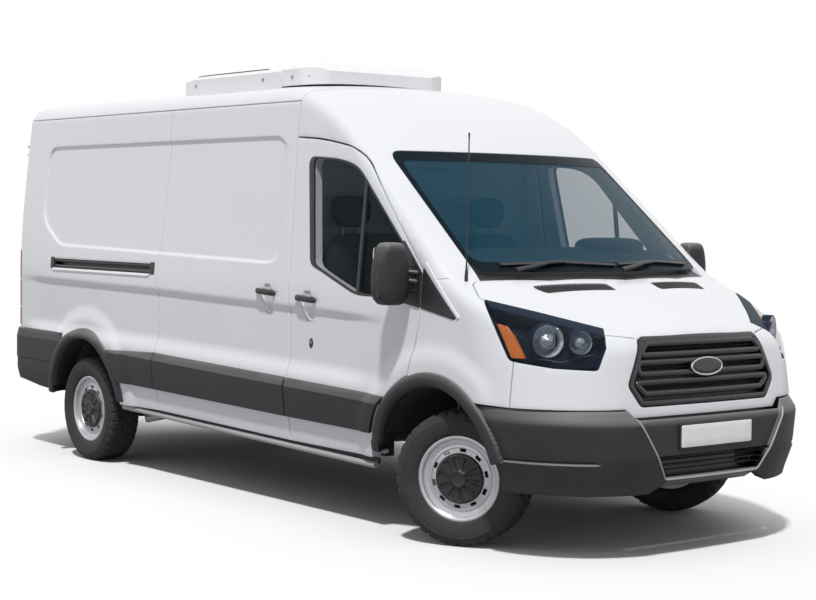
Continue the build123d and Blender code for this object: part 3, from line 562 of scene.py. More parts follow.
def panel(name, material, cast, outline, form, body="body", holes=(), pitch=24, guides=(), rim=3, depth=16,
          lined=None, lift=0, tray=False, **how):
    """A pressed panel: a flat outline laid on a form, with rolled edges and a return round them.

    Guides are lines whose neighbourhood gets more points. Lined is None for an open back, "close"
    for a closed one, or a function that gives the inner points. Lift raises the panel off the form.
    A tray has no front: only its walls and its floor."""
    if tray:
        rim, lined = 0, "close"
    loops = [np.asarray(loop, float) for loop in (outline, *holes)]
    flat, faces = flat_mesh(loops, pitch, guides, rim)
    points = project(cast, flat, form)
    outward = normals(form, points)
    if rim > 0:
        roll = rim - np.sqrt(np.maximum(rim ** 2 - np.maximum(rim - edge_gap(flat, loops), 0) ** 2, 0))
        points = points - outward * roll[:, None]
    points = points + outward * lift
    a, b, c = points[faces[:, 0]], points[faces[:, 1]], points[faces[:, 2]]
    if np.sum(np.cross(b - a, c - a) * outward[faces[:, 0]]) < 0:
        faces = faces[:, ::-1]
    sides_of = np.concatenate([faces[:, [0, 1]], faces[:, [1, 2]], faces[:, [2, 0]]])
    _, back, count = np.unique(np.sort(sides_of, 1), axis=0, return_inverse=True, return_counts=True)
    border = sides_of[count[np.ravel(back)] == 1]
    inside = lined(points, outward) if callable(lined) else points - outward * depth
    used = np.unique(border) if lined is None else np.arange(len(points))
    place = {int(v): len(points) + k for k, v in enumerate(used)}
    walls = [(int(q), int(p), place[int(p)], place[int(q)]) for p, q in border]
    if tray:
        all_faces = [wall[::-1] for wall in walls] + (faces + len(points)).tolist()
    else:
        all_faces = faces.tolist() + walls
        if lined is not None:
            all_faces += (faces[:, ::-1] + len(points)).tolist()
    return put(name, np.concatenate([points, inside[used]]), all_faces, material, body, **how)


def tube_faces(rings, steps, closed=False):
    """Quads between rings of points that follow each other."""
    faces = []
    for k in range(rings if closed else rings - 1):
        here, there = k * steps, (k + 1) % rings * steps
        for j in range(steps):
            after = (j + 1) % steps
            faces.append((here + j, here + after, there + after, there + j))
    return faces


def sweep(name, path, profile, material, up=(0, 0, 1), closed=False, body="body", scale=None, **how):
    """A profile of (aside, up) points drawn along a path. Up is one direction or one for each point."""
    path, profile = np.asarray(path, float), np.asarray(profile, float)
    along = unit(np.roll(path, -1, 0) - np.roll(path, 1, 0) if closed else np.gradient(path, axis=0))
    aside = unit(np.cross(along, np.broadcast_to(np.asarray(up, float), path.shape)))
    up = np.cross(aside, along)
    size = np.ones(len(path)) if scale is None else np.asarray(scale, float)
    rings = path[:, None, :] + size[:, None, None] * (
        aside[:, None, :] * profile[None, :, :1] + up[:, None, :] * profile[None, :, 1:])
    n, m = len(path), len(profile)
    faces = tube_faces(n, m, closed)
    if not closed:
        faces += [tuple(range(m - 1, -1, -1)), tuple((n - 1) * m + j for j in range(m))]
    return put(name, rings.reshape(-1, 3), faces, material, body, **how)


def bead(name, material, cast, line, form, profile, lift=0, **how):
    """A profile drawn along a flat line that is laid on a form."""
    at = project(cast, line, form)
    out = normals(form, at)
    return sweep(name, at + out * lift, profile, material, up=out, **how)


def lathe(name, outline, centre, axis, material, steps=48, body="body", vary=None, **how):
    """An outline of (along, radius) turned round an axis. Vary changes both for each step of a ring."""
    axis = np.asarray(axis, float) / np.linalg.norm(axis)
    first = np.cross(axis, [0, 0, 1])
    first /= np.linalg.norm(first)
    second = np.cross(axis, first)
    turn = np.linspace(0, 2 * math.pi, steps, endpoint=False)
    circle = np.cos(turn)[:, None] * first + np.sin(turn)[:, None] * second
    rings = []
    for along, radius in outline:
        t, r = np.full(steps, float(along)), np.full(steps, max(radius, 0.01))
        if vary:
            t, r = vary(np.arange(steps), t, r)
        rings.append(np.asarray(centre) + t[:, None] * axis + r[:, None] * circle)
    return put(name, np.concatenate(rings), tube_faces(len(outline), steps), material, body, **how)


def power(value, exponent):
    return np.sign(value) * np.abs(value) ** exponent


def block(name, material, at, half, exponent, shape=None, rows=24, columns=48, lean=0, side=LEFT, **how):
    """A rounded block. Shape moves its points, as shares of the half sizes. Lean tips it back."""
    lift, turn = np.meshgrid(np.linspace(-math.pi / 2, math.pi / 2, rows),
                             np.linspace(0, 2 * math.pi, columns, endpoint=False), indexing="ij")
    level = power(np.cos(lift), exponent)
    share = np.stack([level * power(np.cos(turn), exponent), level * power(np.sin(turn), exponent),
                      power(np.sin(lift), exponent)], -1).reshape(-1, 3)
    points = (shape(share) if shape else share) * np.asarray(half)
    points[:, 0] -= lean * (points[:, 2] + half[2])
    faces = tube_faces(rows, columns)
    if side == RIGHT:
        points = points * [1, -1, 1]
        faces = [f[::-1] for f in faces]
    return put(name, points + np.asarray(at), faces, material, **how)


# Finishes
# Colour of the painted sheen, a lighter grey standing in for the sky reflected off faces that look up, and
# how level a face is where it begins and where it is full
PAINTED_SHEEN = (0.22, 0.22, 0.215, 1)
PAINTED_SHEEN_FROM, PAINTED_SHEEN_FULL = 0.12, 0.75


def node(tree, kind, inputs, **settings):
    """A new shader node. Inputs holds values, and sockets to link from, by input name or number."""
    made = tree.nodes.new("ShaderNode" + kind)
    for name, value in settings.items():
        setattr(made, name, value)
    for key, value in inputs.items():
        if isinstance(value, bpy.types.NodeSocket):
            tree.links.new(value, made.inputs[key])
        else:
            made.inputs[key].default_value = value
    return made


def finish(name, slot, colour, roughness, metallic=0, vary=0.05, scale=3, grain=0, grain_scale=400,
           rough_vary=0.06, painted_sheen=0, **sockets):
    """A procedural finish: mottled colour, uneven gloss and a fine grain. A painted sheen lightens the faces
    that look up towards grey, standing in for the sky reflected off them.

    Slot is what pieces with this finish have in the frame. Sockets sets other inputs."""
    made = bpy.data.materials.new(name)
    made.use_nodes = True
    SLOT_OF[made.name] = slot
    tree = made.node_tree
    shader = tree.nodes["Principled BSDF"]
    place = node(tree, "TexCoord", {})
    mottle = node(tree, "TexNoise", {"Scale": scale, "Detail": 6, "Vector": place.outputs["Object"]})
    ramp = node(tree, "ValToRGB", {"Fac": mottle.outputs["Fac"]})
    for stop, at, change in zip(ramp.color_ramp.elements, (0.3, 0.7), (1 - vary, 1 + vary)):
        stop.position = at
        stop.color = [min(1, c * change) for c in colour] + [1]
    shade = ramp.outputs["Color"]
    # Painted sheen: upward faces are mixed towards a lighter grey in place of reflected sky light.
    if painted_sheen > 0:
        split = node(tree, "SeparateXYZ", {"Vector": place.outputs["Normal"]})
        sheen_share = node(tree, "MapRange", {"From Min": PAINTED_SHEEN_FROM, "From Max": PAINTED_SHEEN_FULL, "To Max": painted_sheen,
                                         "Value": split.outputs["Z"]})
        cover = node(tree, "Mix", {"Factor": sheen_share.outputs["Result"], "A": shade, "B": PAINTED_SHEEN},
                     data_type="RGBA")
        shade = cover.outputs["Result"]
    tree.links.new(shade, shader.inputs["Base Color"])
    low, high = max(0, roughness - rough_vary), min(1, roughness + rough_vary)
    spread = node(tree, "MapRange", {"To Min": low, "To Max": high, "Value": mottle.outputs["Fac"]})
    tree.links.new(spread.outputs["Result"], shader.inputs["Roughness"])
    shader.inputs["Metallic"].default_value = metallic
    if grain > 0:
        fine = node(tree, "TexNoise", {"Scale": grain_scale, "Vector": place.outputs["Object"]})
        bump = node(tree, "Bump", {"Strength": grain, "Distance": 0.001, "Height": fine.outputs["Fac"]})
        tree.links.new(bump.outputs["Normal"], shader.inputs["Normal"])
    for socket, value in sockets.items():
        shader.inputs[socket.replace("_", " ")].default_value = value
    return made


WHITE = finish("white_paint", "paint_white", (0.73, 0.745, 0.78), 0.30, vary=0.012, scale=1.5, grain=0.012,
               grain_scale=900, Coat_Weight=0.5, Coat_Roughness=0.06)
INNER_WHITE = finish("lining_white", "paint_white", (0.74, 0.75, 0.76), 0.5, vary=0.03, grain=0.15,
                     grain_scale=220)
# The dark plastic carries the painted sheen, so its upward faces are lighter as if they caught the sky.
PLASTIC = finish("dark_plastic", "dark_plastic", (0.026, 0.028, 0.031), 0.55, vary=0.12, scale=6, grain=0.35,
                 grain_scale=700, painted_sheen=0.75, Specular_IOR_Level=0.35)
TRIM = finish("black_trim", "dark_plastic", (0.018, 0.019, 0.021), 0.42, vary=0.15, scale=10, grain=0.12,
              grain_scale=900)
GLOSS = finish("gloss_black", "dark_plastic", (0.010, 0.011, 0.013), 0.16, vary=0.1, scale=5, Coat_Weight=0.3)
RUBBER = finish("tyre_rubber", "tyre_rubber", (0.027, 0.027, 0.028), 0.78, vary=0.25, scale=9, grain=0.3,
                grain_scale=500)
SEAL = finish("rubber_seal", "dark_plastic", (0.014, 0.014, 0.015), 0.6, vary=0.2, scale=20, grain=0.2,
              grain_scale=900)
SILVER = finish("wheel_silver", "wheel_silver", (0.56, 0.57, 0.59), 0.36, metallic=0.75, scale=14, grain=0.06)
STEEL = finish("bare_steel", "cast_metal", (0.32, 0.31, 0.30), 0.42, metallic=0.9, vary=0.2, scale=18,
               grain=0.1)
CHROME = finish("chrome", "lamp_case", (0.62, 0.64, 0.68), 0.10, metallic=1, vary=0.03, scale=6,
                rough_vary=0.03)
CAST = finish("cast_metal", "dark_plastic", (0.10, 0.10, 0.105), 0.6, metallic=0.5, vary=0.3, scale=16,
              grain=0.4, grain_scale=260)
UNDER = finish("underbody_paint", "underbody_paint", (0.045, 0.046, 0.05), 0.75, vary=0.3, scale=7, grain=0.5,
               grain_scale=160)
GREY_TRIM = finish("grey_trim", "dark_plastic", (0.36, 0.37, 0.38), 0.4, scale=9, grain=0.1)
UNIT = finish("unit_white", "unit_white", (0.82, 0.83, 0.84), 0.38, vary=0.02, scale=4, grain=0.05,
              grain_scale=500)
GREY = finish("bulkhead_grey", "bulkhead_grey", (0.40, 0.43, 0.46), 0.55, vary=0.04, scale=5, grain=0.1)
DASH = finish("cab_plastic", "cab_plastic", (0.018, 0.021, 0.025), 0.7, vary=0.15, scale=8, grain=0.4,
              grain_scale=600)
LINING = finish("headliner", "seat_fabric", (0.56, 0.57, 0.57), 0.9, vary=0.06, scale=30, grain=0.3,
                grain_scale=900)
AMBER = finish("amber_lens", "lamp_case", (0.85, 0.22, 0.03), 0.2, vary=0.12, scale=40, grain=0.3,
               grain_scale=300)
RED = finish("red_lens", "lamp_red", (0.42, 0.012, 0.012), 0.16, vary=0.12, scale=30, grain=0.2,
             grain_scale=260)
BULB = finish("clear_lamp", "lamp_clear", (0.40, 0.45, 0.52), 0.10, scale=30, metallic=0.85)
LAMP_DARK = finish("lamp_dark", "lamp_case", (0.012, 0.020, 0.038), 0.45, vary=0.15, scale=12,
                   Specular_IOR_Level=0.06)
PLATE = finish("blank_plate", "unit_white", (0.82, 0.82, 0.80), 0.35, vary=0.03, scale=25, grain=0.08)
GLASS = finish("side_glass", "glass", (0.010, 0.022, 0.028), 0.03, rough_vary=0.01, Alpha=0.16, IOR=1.45,
               Specular_IOR_Level=0.2)
SCREEN_GLASS = finish("screen_glass", "glass", (0.008, 0.075, 0.125), 0.03, rough_vary=0.01, Alpha=0.36,
                      IOR=1.45, Specular_IOR_Level=0.15)
FRIT = finish("screen_frit", "glass", (0.008, 0.014, 0.020), 0.25, vary=0.08, scale=12, grain=0.05,
              Specular_IOR_Level=0.03)
FABRIC = finish("seat_fabric", "seat_fabric", (0.012, 0.013, 0.015), 0.92, vary=0.25, scale=60, grain=0.6,
                grain_scale=1400)
CLEAR = finish("lamp_glass", "lamp_clear", (0.02, 0.03, 0.045), 0.04, vary=0.02, scale=4, rough_vary=0.01,
               Alpha=0.14, IOR=1.45, Specular_IOR_Level=0.35)

# Body sides
CARGO_LOW, CARGO_HIGH = 918, 832
SIDE_TOP = GUTTER - 3
B_TOP = B_SEAM - 53
LAMP_LOW, LAMP_HIGH = 872, 1411
BUMPER_FRONT = REAR_ARCH[0] - 300
BUMPER_SEAM = 852
WAIST_GUIDE = 44
DISH_GUIDE = 15


def sill(x):
    return 380 + (1491 - x) * 0.0225


def load_half(z):
    """Half width of the load space."""
    return CARGO_LOW - (CARGO_LOW - CARGO_HIGH) * (z - LOAD_FLOOR) / (GUTTER - LOAD_FLOOR)


def to_load_wall(points, outward):
    """Inner face of an insulated side: the flat wall of the load space."""
    inner = points.copy()
    inner[:, 1] = np.sign(points[:, 1]) * np.minimum(load_half(points[:, 2]), np.abs(points[:, 1]) - 4)
    inner[:, 0] = np.maximum(points[:, 0], REAR_FACE + 22)
    return inner


rear_u = unrolled(REAR_FACE, 838, 1500)
lamp_u = unrolled(REAR_FACE + 105, 976, 1000)
lamp_back_u = unrolled(REAR_FACE, 845, 1000)
b_edge = [(B_SEAM, sill(B_SEAM)), (B_SEAM + 4, 1300), (B_TOP, 2130), (B_TOP, SIDE_TOP)]
rear_edge = [(rear_u, SIDE_TOP), (rear_u, LAMP_HIGH + 4), (lamp_back_u, LAMP_HIGH + 4),
             (lamp_u + 4, LAMP_HIGH + 4), (lamp_u + 4, LAMP_LOW - 4), (rear_u, LAMP_LOW - 4),
             (rear_u, BUMPER_SEAM), (BUMPER_FRONT, BUMPER_SEAM)]
rear_edge = chain(rear_edge, arc(REAR_ARCH, ARCH_OPEN + 14, 129.8, 6))
slider_edge = [(SLIDER_REAR, sill(SLIDER_REAR)), (SLIDER_REAR, SIDE_TOP)]
side_guides = [(recess_line, True, 24), (crease_guide(-2780, 640, 40), False, WAIST_GUIDE)]
slider_guides = side_guides + [(dish_line + SLIDER_HANDLE, True, DISH_GUIDE)]
panel("side_panel_right", WHITE, across(RIGHT), chain(np.subtract(slider_edge, [SEAM, 0]), rear_edge), sides,
      holes=[track_loop], guides=side_guides, lined=to_load_wall, replaces=["side_right"])
panel("sliding_door_panel", WHITE, across(RIGHT), chain(slider_edge, b_edge[::-1]), sides,
      guides=slider_guides, lined=to_load_wall, replaces=["sliding_door"])
panel("side_panel_left", WHITE, across(LEFT), chain(b_edge, rear_edge), sides, guides=side_guides,
      lined=to_load_wall, replaces=["side_left"])

# Roof, unrolled over both gutters and the rear edge
roof_cast = over(lambda x: np.full_like(x, 2150), 780, 150, REAR_FACE + 160)
gutter_u = np.concatenate([np.linspace(B_TOP, WRAP_X, 60), np.linspace(WRAP_X, rear_u, 8)[1:]])
gutter = project(across(LEFT), join(gutter_u, np.full_like(gutter_u, GUTTER + 2)), shell)
gutter = roof_cast[1](gutter)
panel("roof_panel", WHITE, roof_cast, chain(gutter, gutter[::-1] * [1, -1]), shell, pitch=40, depth=40,
      lined="close", replaces=["roof"])

# Cab roof and pillars, round the windscreen opening
DOOR_TOP = [(B_SEAM - 47, 2128), (B_SEAM + 200, 2112), (B_SEAM + 490, 2062), (B_SEAM + 620, 2000),
            (A_SEAM - 70, 1475), (A_SEAM, 1400)]
door_top = soften(DOOR_TOP, [0, 2500, 900, 420, 300, 0], 9)
SCREEN = both([(832, 1408), (792, 2041)])
SCREEN_FOOT = [(850, 1330), (837, 1404)]
front_on = straight(0, 1, 1000)


def cab_ridge(x):
    dome = DOME_Z + np.sqrt(np.maximum(DOME_RADIUS ** 2 - np.maximum(x - DOME_X, 0) ** 2, 0))
    plane = COWL_Z + (COWL_X - x) / SCREEN_LEAN
    return np.minimum(np.where(x < HEADER_X, dome, plane), ROOF_HEIGHT) - 330


cab_cast = over(cab_ridge, 700, 250)
screen_top = soften(SCREEN, [0, 70, 70, 0])[1:-1] * [1.006, 1] + [0, 6]
screen_seam = fill_in(chain(SCREEN_FOOT, screen_top, [(-y, z) for y, z in SCREEN_FOOT[::-1]]), 30, False)
seam_top = chain(fill_in(door_top, 40, False) + [0, DOOR_GAP], [(A_SEAM + 6, 1330)])
left_seam = cab_cast[1](project(across(LEFT), seam_top, shell))
screen_flat = cab_cast[1](project(front_on, screen_seam, shell))
cab_outline = chain(left_seam, screen_flat, (left_seam * [1, -1])[::-1])
panel("cab_roof_panel", WHITE, cab_cast, cab_outline, shell, pitch=30, depth=26, lined="close",
      replaces=["cab_frame"])

# Front doors
WINDOW = [(B_SEAM + 228, 1412), (B_SEAM + 124, 2018), (B_SEAM + 400, 1995), (B_SEAM + 560, 1955),
          (A_SEAM - 25, 1400), (A_SEAM - 25, 1262), (B_SEAM + 640, 1262), (B_SEAM + 300, 1382)]
window_loop = soften(WINDOW, [70, 48, 2200, 520, 160, 26, 420, 260], 9)
door_outline = chain([(B_SEAM + 8, sill(B_SEAM)), (B_SEAM + 12, 1300)], fill_in(door_top, 60, False),
                     [(A_SEAM, 1190)], arc(FRONT_ARCH, 536, 112, 177))
door_guides = [(crease_guide(B_SEAM + 20, 1600, 16), False, WAIST_GUIDE),
               (dish_line + DOOR_HANDLE, True, DISH_GUIDE)]
surround = inset(window_loop, -5)
surround[:, 0] -= 34 * (1 - step(B_SEAM + 180, B_SEAM + 330, surround[:, 0]))
for side, word in SIDES:
    door = f"front_door_{word}"
    panel(f"front_door_panel_{word}", WHITE, across(side), door_outline, door_side, door, holes=[window_loop],
          guides=door_guides, depth=58, lined="close", replaces=[door])
    panel(f"window_surround_{word}", TRIM, across(side), surround, door_side, door,
          holes=[inset(window_loop, 7)], pitch=18, rim=2, depth=9, lift=2.5)

# Bonnet and wings
BONNET = [(2841, 431), (COWL_X + 475, 600), (COWL_X + 215, 815), (COWL_X - 30, 962),
          (COWL_X - 150, 905), (COWL_X - 166, 860), (COWL_X - 36, 480), (COWL_X + 24, 0)]
VENT = [(COWL_X - 22, 628), (COWL_X + 58, 168), (COWL_X + 142, 158), (COWL_X + 70, 596)]
LAMP = [(937, 1278), (1200, 1222), (1530, 1146), (1545, 1060), (1508, 952), (1290, 962),
        (1074, 990), (1010, 1120)]
LAMP_INNER_TOP = (1533, 1149)
CREASE_WIDE = 44
down = straight(2, 1, 850)
ahead = straight(0, 1, 2300)
half_bonnet = soften(BONNET, [0, 60, 120, 60, 20, 20, 200, 0])
lip = [(2852 - NOSE_BOW * (y / 1000) ** 2, y) for y in np.linspace(-400, 400, 17)]
bonnet_loop = chain(half_bonnet, (half_bonnet * [1, -1])[::-1], lip)
vents = [soften(np.multiply(VENT, [1, side]), 24) for side in (LEFT, RIGHT)]
crease_x = np.linspace(2330, 2830, 30)
creases = [(join(crease_x, side * bonnet_crease(crease_x)), False, CREASE_WIDE) for side in (LEFT, RIGHT)]
panel("bonnet_panel", WHITE, down, inset(bonnet_loop, 2.5), nose, "bonnet", holes=vents, pitch=22, depth=14,
      guides=creases, lined="close", replaces=["bonnet"])
lamp_loop = soften(LAMP, [10, 40, 20, 20, 20, 40, 40, 40])
lamp_gap = fill_in(inset(lamp_loop, -3), 20)
bonnet_seam = project(down, fill_in(inset(bonnet_loop, -2.5), 30), nose)


def lamp_edge(side):
    """Edge of a headlamp's opening, and the number of its point at the seam between wing and fascia."""
    edge = project(corner(side), lamp_gap, nose)
    return edge, int(np.argmin(np.abs(edge[:, 0] - FASCIA_X) + np.where(edge[:, 2] > 1010, FAR, 0)))


for side, word in SIDES:
    # Down the wing's rear edge, round the arch, up the lamp's rear edge and back along the bonnet
    wing_cast = rolled(side)
    edge, foot = lamp_edge(side)
    tip = int(np.argmin(edge[:, 0]))
    order = np.arange(foot, tip + len(edge) + 1) % len(edge)
    if len(order) > len(edge) // 2:
        order = np.arange(foot, foot - (foot - tip) % len(edge) - 1, -1) % len(edge)
    x, y, _ = bonnet_seam.T
    beside = (y * side > 858) & (x < edge[tip, 0] + 4) & (x > COWL_X - 172)
    seam_flat = wing_cast[1](bonnet_seam[beside])
    wing = chain([(A_SEAM + 9, 1395), (A_SEAM + 9, 1190), (A_SEAM - 67, 850)],
                 arc(FRONT_ARCH, ARCH_OPEN + 14, 116.5, 60), [(FASCIA_X - 2, 760)],
                 wing_cast[1](edge[order]), seam_flat[np.argsort(-seam_flat[:, 0])])
    panel(f"front_wing_panel_{word}", WHITE, wing_cast, wing, nose, pitch=22, depth=14,
          replaces=["front_wings"])

# Front fascia: cheeks beside the grille and the strip under it
GRILLE = both([(431, 1112), (541, 872), (466, 768)])
STRIP_LOW = [(0, 716), (300, 716), (526, 716), (566, 760), (700, 760), (820, 760)]
nose_cast = around()


def nose_flat(points, form=nose):
    """Outline in (y, z) from the front, as one round the nose."""
    return nose_cast[1](project(ahead, points, form))


edge, foot = lamp_edge(LEFT)
inner_top = int(np.argmin(np.hypot(*(lamp_gap - LAMP_INNER_TOP).T)))
cheek_seam = bonnet_seam[(bonnet_seam[:, 0] > edge[inner_top, 0] + 8) & (bonnet_seam[:, 1] > 436)]
cheek_seam = cheek_seam[np.argsort(-cheek_seam[:, 1])]
wing_front = [(FASCIA_X + 3, z) for z in np.linspace(760, edge[foot, 2] - 4, 12)]
grille_gap = inset(soften(GRILLE, 44, 8), -2)
half_fascia = chain(nose_flat(fill_in(STRIP_LOW, 40, False)),
                    nose_cast[1](project(rolled(LEFT), wing_front, nose)),
                    nose_cast[1](edge[foot:inner_top - 1:-1]), nose_cast[1](cheek_seam),
                    nose_flat(fill_in(chain(grille_gap[grille_gap[:, 0] > 0], [(0, 766)]), 30, False)))
panel("front_fascia_panel", WHITE, nose_cast, whole(half_fascia), nose, pitch=20, replaces=["front_fascia"])

# Front bumper
TRAP = both([(546, 716), (345, 406)])
PRESSED_TRAP = both([(590, 790), (345, 406)])
INTAKE = both([(424, 524), (352, 418)])
BUMPER_LOW = [(0, 396), (200, 396), (330, 392), (440, 338), (600, 336), (720, 336)]
BUMPER_TOP = [(820, 757), (700, 757), (566, 757), (526, 712), (300, 712), (0, 712)]
GROOVE = 503


def bumper(p):
    x, y, z = p.T
    back = bumper_back(z)
    half = half_at(np.maximum(z, 380)) + 18 - 0.45 * back
    front = x - (HALF - back - NOSE_BOW * (y / half) ** 2)
    pressed = 15 * (1 - step(-14, 2, loop_gap(join(y, z), PRESSED_TRAP))) * (x > 2600)
    outer = step(600, 760, np.abs(y))
    groove = 7 * step(500, GROOVE, z) * (1 - step(508, 514, z))
    edge_lip = 9 * (1 - step(492, 500, z)) - groove
    return round_max(front, np.abs(y) - half, BUMPER_CORNER) + pressed - edge_lip * outer


arch_z = np.linspace(338, 757, 16)
arch_edge = join(FRONT_ARCH[0] + np.sqrt(470 ** 2 - (arch_z - FRONT_ARCH[1]) ** 2), arch_z)
half_bumper = chain(nose_flat(fill_in(BUMPER_LOW, 40, False), bumper),
                    nose_cast[1](project(rolled(LEFT), arch_edge, bumper)),
                    nose_flat(fill_in(BUMPER_TOP, 40, False), bumper))
intake = nose_flat(fill_in(soften(INTAKE, 14), 25), bumper)
bumper_guides = [(nose_flat(fill_in(TRAP, 30, False), bumper), False, 16),
                 (level_line(GROOVE, 720, 1400), False, 14), (level_line(GROOVE, -1400, -720), False, 14)]
panel("front_bumper_panel", PLASTIC, nose_cast, whole(half_bumper), bumper, holes=[intake], pitch=20, rim=5,
      depth=60, guides=bumper_guides, replaces=["front_bumper"])
panel("intake_tray", GLOSS, nose_cast, inset(intake, -3), bumper, pitch=40, depth=70, lift=-6, tray=True)
for k, z in enumerate((446, 472, 498)):
    reach = float(np.interp(z, [418, 524], [348, 420]))
    bead(f"intake_bar_{k}", TRIM, ahead, level_line(z, -reach, reach, 25), bumper, oval(4, 9, 8), -26)
bead("bumper_shelf", TRIM, ahead, level_line(694, -530, 530, 41), nose, oval(44, 8, 16), -36)
frame_path = fill_in(soften(TRAP, [0, 30, 30, 0]), 25, False)
bead("bumper_frame", GREY_TRIM, ahead, frame_path, bumper, oval(5, 4.5, 10), 2)

# Grille: surround, three double bars, a dark back and a bare badge place
GRILLE_BARS = [(1048, 424, 26), (955, 466, -2), (858, 462, -34)]
BAR_TALL = 28
grille_loop = soften(GRILLE, 48, 8)
panel("grille_surround", GLOSS, ahead, inset(grille_loop, 2), nose, holes=[inset(grille_loop, 30)], pitch=18,
      rim=7, depth=50, lift=5, replaces=["grille"])
panel("grille_back", TRIM, ahead, inset(grille_loop, 20), nose, pitch=40, rim=0, depth=6, lift=-46,
      lined="close")
for k, (z, wide, taper) in enumerate(GRILLE_BARS):
    loop = both([(wide - taper, z + BAR_TALL), (wide + taper, z - BAR_TALL)])
    bead(f"grille_bar_{k}", GLOSS, ahead, fill_in(soften(loop, 34, 10), 20), nose, oval(16, 13, 14), -7,
         closed=True)
    slat = fill_in([(-wide + 20, z), (wide - 20, z)], 40, False)
    bead(f"grille_slat_{k}", TRIM, ahead, slat, nose, oval(7, 14, 8), -26)
badge = oval(112, 43, 40) + [0, 950]
panel("badge_blank", GLOSS, ahead, badge, nose, pitch=10, rim=12, depth=26, lift=17)
bead("badge_ring", CHROME, ahead, badge, nose, oval(5, 5, 8), 13, closed=True)

# Headlamps
WEDGE = [(1000, 1172), (1062, 1160), (1150, 1002), (1080, 1002)]
BROW = [(938, 1277), (1200, 1221), (1530, 1145), (1540, 1102), (1492, 1120), (1200, 1187),
        (974, 1238)]
LAMP_STRIP = [(1180, 1012), (1330, 990), (1420, 1018), (1500, 1030)]
# Place in width and height, size and depth of each reflector
REFLECTORS = [((1275, 1088), 78, 30), ((1432, 1082), 56, 26)]
for side, word in SIDES:
    lamp_cast = corner(side)
    panel(f"headlamp_lens_{word}", CLEAR, lamp_cast, inset(lamp_loop, 1), nose, pitch=20, rim=4, depth=5,
          lined="close", lift=1.5, replaces=["headlamp_lenses"])
    panel(f"headlamp_tray_{word}", LAMP_DARK, lamp_cast, inset(lamp_loop, -1), nose, pitch=30, depth=86,
          lift=-4, tray=True, replaces=["headlamp_cases"])
    panel(f"side_indicator_{word}", AMBER, lamp_cast, soften(WEDGE, 8), nose, pitch=14, depth=30, lift=-12)
    panel(f"headlamp_brow_{word}", LAMP_DARK, lamp_cast, BROW, nose, pitch=14, rim=2, depth=8, lift=3)
    forward = np.array([0.90, side * 0.42, 0])
    for n, (place, size, deep) in enumerate(REFLECTORS):
        seat = project(lamp_cast, [place], nose)[0] - forward * (deep + 22)
        bowl = [(-30, size * 0.35), (-14, size * 0.62), (4, size * 0.86), (14, size), (17, size + 3)]
        lathe(f"reflector_{n}_{word}", bowl, seat, forward, CHROME, 40)
        sleeve = [(-32, size * 0.35), (-32, size + 7), (14, size + 7), (18, size + 5),
                  (17, size + 2)]
        lathe(f"reflector_sleeve_{n}_{word}", sleeve, seat, forward, LAMP_DARK, 40)
        ball = [(2 + 26 * math.cos(a), size * 0.52 * math.sin(a)) for a in np.linspace(1.57, 0, 9)]
        lathe(f"projector_{n}_{word}", [(-26, size * 0.52)] + ball, seat, forward, BULB, 32)
    bead(f"lamp_strip_{word}", CHROME, lamp_cast, fill_in(LAMP_STRIP, 14, False), nose, oval(5, 16, 8), -34)

# Wheel arch flares and mouldings
LIP_BACK = 6
DOOR_ARCH = 541
CHAMFER = 50
# How far a flare stands out, by the distance from the wheel arch's centre
FLARE_AT, FLARE_PROUD = [ARCH_OPEN, 474, 506, ARCH_FLARE], [12, 22, 20, 10]


def front_side(p):
    """Outer skin of the front end: wing, door and bumper."""
    return np.minimum(np.minimum(nose(p), door_side(p)), np.where(p[:, 2] < 765, bumper(p), FAR))


def flare(base, centre):
    def form(p):
        return base(p) - np.interp(np.hypot(p[:, 0] - centre[0], p[:, 2] - centre[1]), FLARE_AT, FLARE_PROUD)
    return form


def moulding(base):
    def form(p):
        return base(p) - 3 - 21 * np.clip((moulding_top(p[:, 0]) - p[:, 2]) / CHAMFER, 0, 1)
    return form


def moulding_top(x):
    return 741 + 0.0265 * (X_FRONT - 390 - x)


def moulding_foot(x):
    return 522 + 0.0195 * (X_FRONT - 455 - x)


def ring(centre, start, end):
    return chain(arc(centre, ARCH_FLARE, start, end, 60), arc(centre, ARCH_OPEN + 2, start, end, 60)[::-1])


def strip_end(x):
    """Corners of a moulding's end, from the foot up."""
    return [(x, moulding_foot(x)), (x, moulding_top(x))]


def arch_end(centre, radius, start, end):
    """A moulding's end that follows a wheel arch."""
    x, z = arc(centre, radius, start, end, 60).T
    keep = (moulding_foot(x) < z) & (z < moulding_top(x))
    return join(x[keep], z[keep])


chamfer_x = np.linspace(-1300, 1560, 60)
chamfer = join(chamfer_x, moulding_top(chamfer_x) - CHAMFER)
rear_end = arch_end(REAR_ARCH, ARCH_FLARE + 3, 15, 50)[::-1]
front_end = arch_end(FRONT_ARCH, DOOR_ARCH, 165, 130)
ON_BODY = ("body", "side_cladding")
low_end, high_end = strip_end(SLIDER_REAR + 2)
slider_strip = chain(low_end, strip_end(B_SEAM - 2), high_end)
strips = [("quarter_right", RIGHT, chain(strip_end(SLIDER_REAR - 4), rear_end), sides, *ON_BODY),
          ("slider_right", RIGHT, slider_strip, sides, *ON_BODY),
          ("side_left", LEFT, chain(strip_end(B_SEAM - 2), rear_end), sides, *ON_BODY)]
